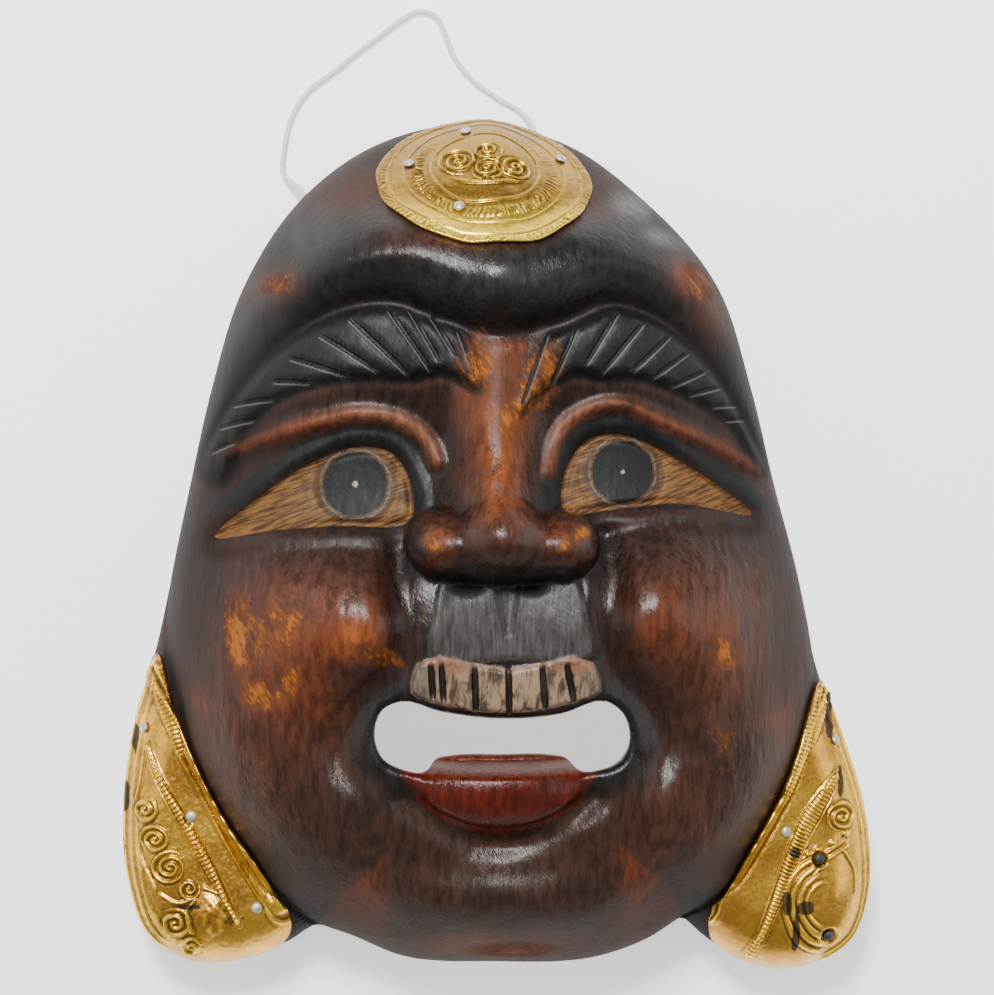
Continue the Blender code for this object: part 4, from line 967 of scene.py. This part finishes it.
def raisedRope(x, y, relief, rope):
    # A rope of beads, as wide as the given widths at the given distances along it, in a fine outline.
    distance, along = lineDistance(x, y, smoothLine(rope["line"], False), False, 20)
    width = np.interp(along, *rope["widths"])
    relief = np.maximum(relief, beads(along, distance, rope["spacing"], width, rope["height"]))
    return np.maximum(relief, ridge(distance - width - 0.5, *rope["beside"]))


def flatRound(x, y, nails, reach=2.6):  # 0 under the nail heads, 1 away from them
    plain = np.ones(np.shape(x))
    for nail in nails:
        plain = plain * blend((np.hypot(x - nail[0], y - nail[1]) - reach + 0.6) / 1.2)
    return plain


def medallionPlaces(radius, bearing):
    # A flat disc that leans back, pressed on to the crown along its own axis, found by halving.
    m = brassPlates["medallion"]
    x0, y0 = m["centre"]
    z0 = carve(np.array([x0], float), np.array([y0], float))[0]
    back, up = math.sin(m["lean"]), math.cos(m["lean"])
    x = x0 + radius * np.cos(bearing)
    y = y0 + radius * np.sin(bearing) * up
    z = z0 - radius * np.sin(bearing) * back
    low, high = np.full(x.shape, -m["radius"]), np.full(x.shape, m["radius"])
    for _ in range(18):
        mid = (low + high) / 2
        above = z - mid * up > carve(x, y - mid * back)
        low, high = np.where(above, mid, low), np.where(above, high, mid)
    return x, y - low * back


def medallionRelief(radius, bearing):
    # From the rim inwards: a hatched border, a beaded line, a smooth band, a cut ring, a band of
    # uneven spokes, a second ring, and in the middle four curls over a swirl.
    size = brassPlates["medallion"]["radius"]
    share = radius / size
    x, y = radius * np.cos(bearing), radius * np.sin(bearing)
    uneven = latticeNoise(x, y, 3, 5)
    hatch = np.abs(np.sin(bearing * 62 + 3 * uneven)) * (0.75 + 0.25 * latticeNoise(x, y, 6, 9))
    relief = 0.55 * hatch * blend((share - 0.895) / 0.02) * blend((1.0 - share) / 0.02)
    relief = relief + beads(bearing * size, (share - 0.875) * size, 1.1, 0.7, 0.5)
    relief = relief - ridge((share - 0.855) * size, 0.35, 0.4) - ridge((share - 0.70) * size, 0.5, 0.7)
    relief = relief + ridge((share - 0.725) * size, 0.5, 0.35)
    spokes = np.abs(np.sin(bearing * 44 + 2.5 * uneven)) ** 2
    low = 0.35 + 0.65 * blend((10 - y - 0.5 * x) / 26)
    relief = relief + 0.5 * low * spokes * blend((share - 0.55) / 0.03) * blend((0.675 - share) / 0.03)
    relief = relief - ridge((share - 0.515) * size, 0.4, 0.6) + ridge((share - 0.49) * size, 0.5, 0.6)
    relief = raisedCurls(x, y, relief, brassPlates["medallion"]["curls"], 0.5, 1.0, 0.6)
    sweep = np.abs(np.hypot((x - 1) / 1.3, y - 2) - 12) - 0.3
    relief = np.maximum(relief, ridge(sweep, 0.5, 0.8) * blend((-6 - y) / 3))
    return relief + 0.4 * blend((0.49 - share) / 0.05) + 0.12 * cloud(x, y, 5, 61)


def leftRelief(x, y, edge):
    # A ribbed rope along the inner edge that runs out into plain ridges and a small knot, a second
    # rope, border lines on the outer side, and a run of spirals that ends in an oval boss.
    plate = brassPlates["left"]
    inner, along = lineDistance(x, y, smoothLine(plate["inner"], False), False, 20)
    relief = beads(along, inner - 2.6, 1.5, 2.0, 1.2) * blend((34 - along) / 10)
    relief = np.maximum(relief, beads(along, inner - 3.0, 1.3, 0.8, 0.7) * blend((70 - along) / 15))
    relief = relief + ridge(inner - 0.9, 0.7, 0.8)
    relief = relief + ridge(inner - 4.9, 0.5, 0.7) * blend((along - 20) / 10)
    relief = relief + 1.2 * mound(x, y, (-76.5, -124), 2.6, 3.4, 0.5)
    relief = raisedRope(x, y, relief, plate["rope"])
    side = blend((-x - 112) / 5)
    relief = relief + side * (ridge(edge - 1.5, 0.5, 0.8) + ridge(edge - 4.0, 0.4, 0.7))
    relief = raisedCurls(x, y, relief, plate["curls"])
    relief = raisedStrokes(x, y, relief, plate["strokes"])
    boss = mound(x, y, (-98, -126.5), 5.0, 6.4, 0.3)
    relief = relief + 2.6 * boss * (1 + 0.22 * latticeNoise(x, y, 1.8, 71))
    return relief + 0.10 * cloud(x, y, 4, 63) + 0.05 * latticeNoise(x, y, 0.9, 65)


def rightRelief(x, y, edge):
    # As the left one, mirrored: the second rope is broader, and the lower end has arcs round a broad
    # smooth boss.
    plate = brassPlates["right"]
    inner, along = lineDistance(x, y, smoothLine(plate["inner"], False), False, 20)
    relief = beads(along, inner - 2.2, 1.5, 2.0, 1.2) * blend((46 - along) / 12)
    relief = relief + ridge(inner - 0.8, 0.6, 0.9)
    relief = relief + 0.6 * ridge(inner - 2.2, 0.9, 0.8) * blend((along - 40) / 8)
    relief = raisedRope(x, y, relief, plate["rope"])
    side = blend((x - 112) / 5)
    relief = relief + side * (ridge(edge - 1.5, 0.5, 0.9) + ridge(edge - 4.0, 0.45, 0.8))
    relief = raisedCurls(x, y, relief, plate["curls"])
    for centre in plate["studs"]:
        relief = np.maximum(relief, 0.9 * mound(x, y, centre, 1.0, 1.0))
    relief = raisedStrokes(x, y, relief, plate["strokes"])
    out = np.hypot((x - 114.5) / 0.9, y + 126)
    arcs = 0.8 * np.abs(np.sin(math.pi * out / 2.9)) * blend((19 - out) / 2) * blend((out - 6) / 2)
    relief = np.maximum(relief, arcs * blend((117 - x) / 8))
    return relief + 2.8 * mound(x, y, (113, -126), 13, 14) + 0.10 * cloud(x, y, 4, 64)


def finer(grid, steps):
    # A closed grid of places made finer both ways along smooth curves.
    rings, columns, size = grid.shape
    along = smoothLine(grid.transpose(1, 0, 2).reshape(columns, -1), True, steps)
    along = along.reshape(-1, rings, size).transpose(1, 0, 2)
    return smoothLine(along.reshape(rings, -1), False, steps).reshape(-1, along.shape[1], size)


def addPlate(name, x, y, reliefOf, nails):
    # A thin sheet: its face in rings from a middle point to the rim, and a plain back of few rings.
    # It lies on the carving at every third place, and the places between are on smooth curves. Its
    # marks say how far the relief stands over the places round it, and where it is tarnished.
    b = brassPlates
    normal = carvedNormal(x, y)
    coarse = np.concatenate([onCarving(x, y, 0 * x, normal), normal], axis=-1)
    coarse[0] = coarse[0].mean(axis=0)
    fine = finer(coarse, b["finerSteps"])
    base, normal = fine[..., :3], fine[..., 3:]
    x, y = base[..., 0], base[..., 1]
    columns = x.shape[1]
    relief = reliefOf(x, y) * flatRound(x, y, nails)
    relief[0] = relief[0].mean()
    lift = b["clearance"] + b["thickness"] + np.clip(relief, b["deepest"], None)
    top = base + normal * lift[..., None]
    few = np.linspace(0, len(x) - 1, b["backRings"]).astype(int)
    bottom = base[few] + normal[few] * b["clearance"]
    column = np.arange(columns)
    beside = (column + 1) % columns
    points, quads, triangles, rims = [], [], [], []
    first = 0
    for rings, upper in ((top, True), (bottom, False)):
        points += [rings[0].mean(axis=0)[None], rings[1:].reshape(-1, 3)]
        cap = fan(first, first + 1, columns)
        triangles.append(cap if upper else cap[:, ::-1])
        sheet = ringFaces(len(rings) - 1, columns, False, first + 1)
        quads.append(sheet[:, ::-1] if upper else sheet)
        rims.append(first + 1 + (len(rings) - 2) * columns)
        first += 1 + (len(rings) - 1) * columns
    rim, backRim = rims
    quads.append(np.stack([rim + column, backRim + column, backRim + beside, rim + beside], axis=1))
    piece = fillMesh(name, placed(np.concatenate(points)), np.concatenate(quads),
                     np.concatenate(triangles))
    reach = b["blur"]
    padded = np.vstack([relief[:reach][::-1], relief, relief[-reach:]])
    level = (padded[:-2 * reach] + padded[2 * reach:] + np.roll(relief, reach, 1)
             + np.roll(relief, -reach, 1)) / 4
    tarnish = sum(mound(x, y, *spot) for spot in b["tarnish"])
    for mark, values in (("relief", relief - level), ("tarnish", tarnish)):
        known = np.zeros(len(piece.data.vertices))
        known[0] = values[0, 0]
        known[1:1 + values[1:].size] = values[1:].ravel()
        addMark(piece, mark, known)
    return piece


def addMedallion():
    # Rings of a leaning disc that is pressed on to the crown.
    m = brassPlates["medallion"]

    def wavedDisc(rings, columns):  # even rings and columns of a disc with two waves round its rim
        bearing = np.linspace(0, 2 * math.pi, columns, endpoint=False) + np.zeros((rings, 1))
        wave = 1 + 0.010 * np.sin(5 * bearing) + 0.006 * np.sin(11 * bearing + 1)
        return (m["radius"] - m["inset"]) * np.linspace(0, 1, rings)[:, None] * wave, bearing

    def relief(fineX, fineY):  # the same disc on the finer grid
        return medallionRelief(*wavedDisc(*fineX.shape))

    x, y = medallionPlaces(*wavedDisc(m["rings"], m["columns"]))
    return addPlate("medallionPlate", x, y, relief, m["nails"])


def addEarPlate(name, plate, reliefOf):
    # Rings from the plate's middle to its outline, which is drawn in where it would come too near
    # the edge of the ear lobe.
    line = smoothLine(plate["outline"], True, 6)
    centre = np.array(plate["centre"])
    for _ in range(3):
        short = np.clip(plate["margin"] - insideDistance(*line.T, outline), 0, None)[:, None]
        inward = centre - line
        line = line + short * inward / np.linalg.norm(inward, axis=1, keepdims=True)
    bearing = evenBearings(line, centre, brassPlates["columns"])
    radius = radiusAt(bearing, line, centre)
    share = np.linspace(0, 1, brassPlates["rings"])[:, None]
    x = centre[0] + radius * np.cos(bearing) * share
    y = centre[1] + radius * np.sin(bearing) * share

    def relief(fineX, fineY):
        return reliefOf(fineX, fineY, insideDistance(fineX, fineY, line, 30))

    return addPlate(name, x, y, relief, plate["nails"])


def brassMaterial():
    # Tan brass: bright on the raised lines, brown in the grooves, and black where it is tarnished.
    # The crown's plate is a darker, shaded copy of the brass on its flats, with its raised lines
    # less bright, and has a painted highlight along its lower brim.
    m = Maker("embossedBrass")
    tones = brassPlates["tones"]
    relief, north = m.mark("relief"), m.along("Y")
    worn = m.ramp(m.noise(45, 5, 0.6), 0.35, 0.68)
    onCrown = m.ramp(north, 0.05, 0.06)
    colour = m.mix(onCrown, m.mix(worn, tones["dull"], tones["bright"]),
                   m.mix(worn, tones["crownDull"], tones["crownBright"]))
    # A painted highlight along the crown plate's lower brim.
    brimHighlight = m.times(onCrown, m.ramp(north, 0.103, 0.119, 0.95, 0))
    colour = m.mix(brimHighlight, colour, tones["crownBrimHighlight"])
    raised = m.times(m.ramp(relief, 0.06, 0.40), m.minus(1.0, m.times(onCrown, 0.35)))
    colour = m.mix(raised, colour, tones["raised"])
    colour = m.mix(m.ramp(relief, -0.30, -0.05, 0.85, 0.0), colour, tones["groove"])
    ragged = m.plus(m.mark("tarnish"), m.minus(m.noise(190, 6, 0.75, distortion=0.4), 0.22))
    dark = m.ramp(ragged, 0.54, 0.70, 0.0, 0.9)
    colour = m.mix(dark, colour, tones["tarnish"])
    rough = m.plus(m.ramp(m.noise(900, 4, 0.6), 0.3, 0.7, 0.24, 0.40), m.times(dark, 0.3))
    grained = m.bump(m.noise(1400, 3, 0.6), 0.4, 0.00012)
    m.set(**{"Base Color": colour, "Roughness": rough,
             "Normal": m.bump(m.noise(260, 3, 0.5), 0.4, 0.0006, grained)})
    m.shader.inputs["Metallic"].default_value = 0.96
    return m.material


# Nails

nails = {
    "headRadius": 1.9, "headHeight": 1.1, "radius": 0.7, "length": 8.0, "columns": 20,
    "endDepth": 1.5,  # how near its end a nail's width is looked at, to tell the head from the point
    "black": ["right_ear_nail_3", "right_ear_nail_4"],
    "finishes": {  # two tones, two values of the roughness, and the share of metal
        "paleNail": ((0.36, 0.33, 0.28), (0.62, 0.60, 0.55), 0.35, 0.55, 0.6),
        "blackNail": ((0.020, 0.023, 0.030), (0.060, 0.065, 0.075), 0.45, 0.65, 0.3)},
}


def addNail(name, node):
    # The outline of a domed head and a tapered point, turned round the axis of the nail that it
    # replaces. That is the way its corners spread furthest, and its head is at the wider end.
    corners = np.array([corner.co[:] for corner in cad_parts[node].data.vertices])
    centre = corners.mean(axis=0)
    spread = np.linalg.eigh(np.cov((corners - centre).T))[1][:, 2]
    reach = (corners - centre) @ spread
    far, near = corners[np.argmax(reach)], corners[np.argmin(reach)]
    n = nails
    wide = []
    for end in (far, near):
        arm = corners - end
        arm = arm[np.abs(arm @ spread) < n["endDepth"] * mm]
        wide.append(np.linalg.norm(np.cross(arm, spread), axis=1).max())
    axis, tip = (spread, near) if wide[0] > wide[1] else (-spread, far)
    arc = np.linspace(0, math.pi / 2, 7)
    profileX = np.concatenate([n["headRadius"] * np.sin(arc), [n["radius"], n["radius"], 0.0]]) * mm
    profileZ = np.concatenate([n["length"] + n["headHeight"] * np.cos(arc) ** 0.8,
                               [n["length"], 0.2 * n["length"], 0.0]]) * mm
    side = np.cross(axis, [0.3, 0.9, 0.1])
    side = side / np.linalg.norm(side)
    columns = n["columns"]
    bearing = np.linspace(0, 2 * math.pi, columns, endpoint=False)[:, None]
    outward = np.cos(bearing) * side + np.sin(bearing) * np.cross(axis, side)
    points = tip + profileZ[:, None, None] * axis + profileX[:, None, None] * outward
    body = points[1:-1].reshape(-1, 3)
    count = len(body)
    caps = [fan(count, 0, columns), fan(count + 1, count - columns, columns)[:, ::-1]]
    quads = ringFaces(len(points) - 2, columns, False)[:, ::-1]
    ends = [points[0, :1], points[-1, :1]]
    return fillMesh(name, np.concatenate([body, *ends]), quads, np.concatenate(caps))


def nailMaterial(name):
    # One metal with a faint cloud in its tone and another in its roughness.
    dark, pale, smooth, dull, metal = nails["finishes"][name]
    m = Maker(name)
    m.set(**{"Base Color": m.mix(m.ramp(m.noise(500, 3), 0.35, 0.65), dark, pale),
             "Roughness": m.ramp(m.noise(700, 3), 0.3, 0.7, smooth, dull)})
    m.shader.inputs["Metallic"].default_value = metal
    return m.material


# String

string = {
    "diameter": 2.2, "holeHeight": 7.0, "lift": 0.2, "strands": 3, "twist": 7.5,
    "ends": [((-68, 123), math.radians(125)), ((17, 146), math.radians(100))],
    "bend": [(-75.5, 134), (-75, 144), (-72.5, 154.5), (-66.5, 164), (-57.5, 171), (-49, 178),
             (-40.5, 184.5), (-32.5, 190.5), (-26, 193.8), (-20, 192), (-16.6, 185.5), (-13.5, 177.5),
             (-6.5, 169), (3, 162), (11.5, 157)],
    "knotRadius": 3.3, "knotThickness": 1.0, "knotGap": 0.4, "pointSpacing": 0.33, "smoothings": 6,
    "tones": [(0.62, 0.59, 0.52), (0.88, 0.86, 0.80)],
}


def stringRoute():
    # From behind the left hole, out through the wood, round the loop on the table and back.
    s = string
    hollowLine = shiftedLine(faceLine, features["rimWidth"])
    runs, knots, exits = [], [], []
    for place, bearing in s["ends"]:
        x, y = outline[np.argmin(np.hypot(*(outline - np.array(place)).T))]
        out = np.array([math.cos(bearing), math.sin(bearing), 0])
        mouth = np.array([x, y, s["holeHeight"]])
        steps = np.linspace(0, 3 * features["rimWidth"], 120)
        reached = insideDistance(x - out[0] * steps, y - out[1] * steps, hollowLine) > 1
        length = steps[np.argmax(reached)]
        runs.append([mouth - out * (length - s["knotGap"]), mouth - out * length / 2, mouth,
                     mouth + out * 1.5 * s["diameter"]])
        knots.append(mouth - out * (length + s["knotGap"] + s["knotRadius"]))
        exits.append(mouth)
    lying = s["diameter"] / 2 + s["lift"]
    route = runs[0] + [(x, y, lying) for x, y in s["bend"]] + runs[1][::-1]
    return smoothLine([tuple(point) for point in route], False, 16), knots, exits


def tubeAlong(name, path, radius, columns, swell=None):
    # A tube round a path: each ring stands square to the path and starts on its level side. Swell
    # gives the share of the radius at each turn and distance.
    run = np.gradient(path, axis=0)
    run = run / np.linalg.norm(run, axis=1, keepdims=True)
    side = np.cross(run, [0.0, 0.0, 1.0])
    side = side / np.linalg.norm(side, axis=1, keepdims=True)
    up = np.cross(side, run)
    travelled = distancesAlong(path)[:, None]
    turn = np.linspace(0, 2 * math.pi, columns, endpoint=False)[None]
    size = radius * (np.ones((len(path), columns)) if swell is None else swell(turn, travelled))
    ring = (path[:, None] + (size * np.cos(turn))[..., None] * side[:, None]
            + (size * np.sin(turn))[..., None] * up[:, None])
    points = np.concatenate([ring.reshape(-1, 3), path[:1], path[-1:]])
    count = len(path) * columns
    caps = [fan(count, 0, columns), fan(count + 1, count - columns, columns)[:, ::-1]]
    piece = fillMesh(name, placed(points), ringFaces(len(path), columns, False)[:, ::-1],
                     np.concatenate(caps))
    ends = [0, travelled[-1, 0]]
    addMark(piece, "along", np.concatenate([(travelled + 0 * turn).ravel(), ends]))
    addMark(piece, "round", np.concatenate([(turn + 0 * travelled).ravel(), [0, 0]]))
    return piece


def addString():
    # The string as a tube along its route, and its two knots as tubes along a trefoil curve.
    s = string
    route, knots, exits = stringRoute()
    length = distancesAlong(route)[-1]
    path = placesAlong(route, np.linspace(0, length, int(length / s["pointSpacing"])))
    for _ in range(s["smoothings"]):
        path[1:-1] = (path[:-2] + path[1:-1] * 2 + path[2:]) / 4

    def swell(turn, distance):  # round strands laid together
        lobe = (turn * s["strands"] - 2 * math.pi * distance / s["twist"] * s["strands"]) / 2
        return 0.80 + 0.20 * np.abs(np.cos(lobe))

    piece = tubeAlong("hangingString", path, s["diameter"] / 2, 18, swell)
    t = np.linspace(0, 2 * math.pi, 160)[:-1]  # a trefoil knot
    curl = np.stack([(2 + np.cos(3 * t)) * np.cos(2 * t), (2 + np.cos(3 * t)) * np.sin(2 * t),
                     1.3 * np.sin(3 * t)], axis=1) * (s["knotRadius"] - s["knotThickness"]) / 3
    tied = [tubeAlong(name, centre + curl, s["knotThickness"], 12)
            for name, centre in zip(("leftKnotTied", "rightKnotTied"), knots)]
    return piece, tied, path, exits, length * mm


def stringMaterial():
    # Pale cotton: a fine noise in its tone, and slanting ribs round it from the two marks.
    m = Maker("cottonString")
    strands = string["strands"]
    ribs = -2 * math.pi / string["twist"] * strands * 3  # three to a strand
    lay = m.math("SINE", m.plus(m.times(m.mark("round"), strands), m.times(m.mark("along"), ribs)))
    fibre = m.noise(2600, 3, 0.6)
    m.set(**{"Base Color": m.mix(m.ramp(fibre, 0.3, 0.7), *string["tones"]),
             "Normal": m.bump(m.plus(lay, fibre), 0.3, 0.0002)})
    m.shader.inputs["Roughness"].default_value = 0.9
    m.shader.inputs["Sheen Weight"].default_value = 0.3
    return m.material


def dress(piece, material, slot, *nodes):  # a piece's finish, and what it stands in for; the slot is not used
    piece.data.materials.clear()
    piece.data.materials.append(material)
    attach(piece, "root")
    if nodes:
        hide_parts(*nodes)


# Camera and string come first

view = {"place": (-45, 16, 760), "aim": (0, 16, 40), "lens": 75}
eyePoint, aimPoint = Vector(placed([view["place"]])[0]), Vector(placed([view["aim"]])[0])
camera = bpy.data.objects.new("camera", bpy.data.cameras.new("camera"))
bpy.context.scene.collection.objects.link(camera)
camera.data.lens = view["lens"]
camera.location = eyePoint
backward = (eyePoint - aimPoint).normalized()
rightward = Vector((0, 1, 0)).cross(backward).normalized()  # the top of the picture is the mask's top
camera.rotation_euler = Matrix((rightward, backward.cross(rightward), backward)).transposed().to_euler()
bpy.context.scene.camera = camera

cord, knots, cordPath, exits, cordLength = addString()
cotton = stringMaterial()
dress(cord, cotton, "cotton_string", "hanging_cord")
for knot, node in zip(knots, ("left_knot", "right_knot")):
    dress(knot, cotton, "cotton_string", node)
print("string laid,", round(cordLength, 3), "m")

carved = addWood()
dress(carved, woodMaterial(), "stained_wood", "mask_body")
print("wood carved,", len(carved.data.polygons), "faces")

brass = brassMaterial()
dress(addMedallion(), brass, "brass_sheet", "crown_medallion")
for side, relief in (("left", leftRelief), ("right", rightRelief)):
    plate = addEarPlate(side + "EarPlate", brassPlates[side], relief)
    dress(plate, brass, "brass_sheet", side + "_ear_plate")
print("plates embossed")

pale, black = nailMaterial("paleNail"), nailMaterial("blackNail")
for stem, count in (("medallion_nail", 4), ("left_ear_nail", 3), ("right_ear_nail", 4)):
    for number in range(1, count + 1):
        node = f"{stem}_{number}"
        finish = black if node in nails["black"] else pale
        dress(addNail(node + "_domed", node), finish, "pale_nails", node)
print("nails driven")

# Table and light

room = {
    "tableSide": 8, "tableDrop": 0.0002, "tableTone": (0.93, 0.93, 0.93), "tableGlow": 0.9, "sky": 0.4,
    "lights": [  # place, side of the square, watts
        ((-0.2, 0.62, 1.15), 0.26, 30), ((1.3, 0.1, 0.75), 0.9, 6), ((-1.3, 0.1, 0.75), 0.9, 4)],
    "lightAim": (0, 0, 0.05),
}
square = np.array([(-1, -1, 0), (1, -1, 0), (1, 1, 0), (-1, 1, 0)]) * room["tableSide"] / 2
tableTop = fillMesh("tableTop", square - (0, 0, room["tableDrop"]), np.array([[0, 1, 2, 3]]))
table = Maker("paleTable")
table.set(**{"Base Color": room["tableTone"], "Roughness": 0.8})
table.shader.inputs["Emission Color"].default_value = (1, 1, 1, 1)
table.shader.inputs["Emission Strength"].default_value = room["tableGlow"]
tableTop.data.materials.append(table.material)

for number, (place, size, power) in enumerate(room["lights"], 1):
    lamp = bpy.data.lights.new(f"softLight{number}", "AREA")
    lamp.size = size
    lamp.energy = power
    holder = bpy.data.objects.new(f"softLight{number}", lamp)
    bpy.context.scene.collection.objects.link(holder)
    holder.location = place
    facing = Vector(room["lightAim"]) - Vector(place)
    holder.rotation_euler = facing.to_track_quat("-Z", "Y").to_euler()
sky = bpy.data.worlds.new("paleRoom")
sky.use_nodes = True
sky.node_tree.nodes["Background"].inputs["Color"].default_value = (1, 1, 1, 1)
sky.node_tree.nodes["Background"].inputs["Strength"].default_value = room["sky"]
bpy.context.scene.world = sky
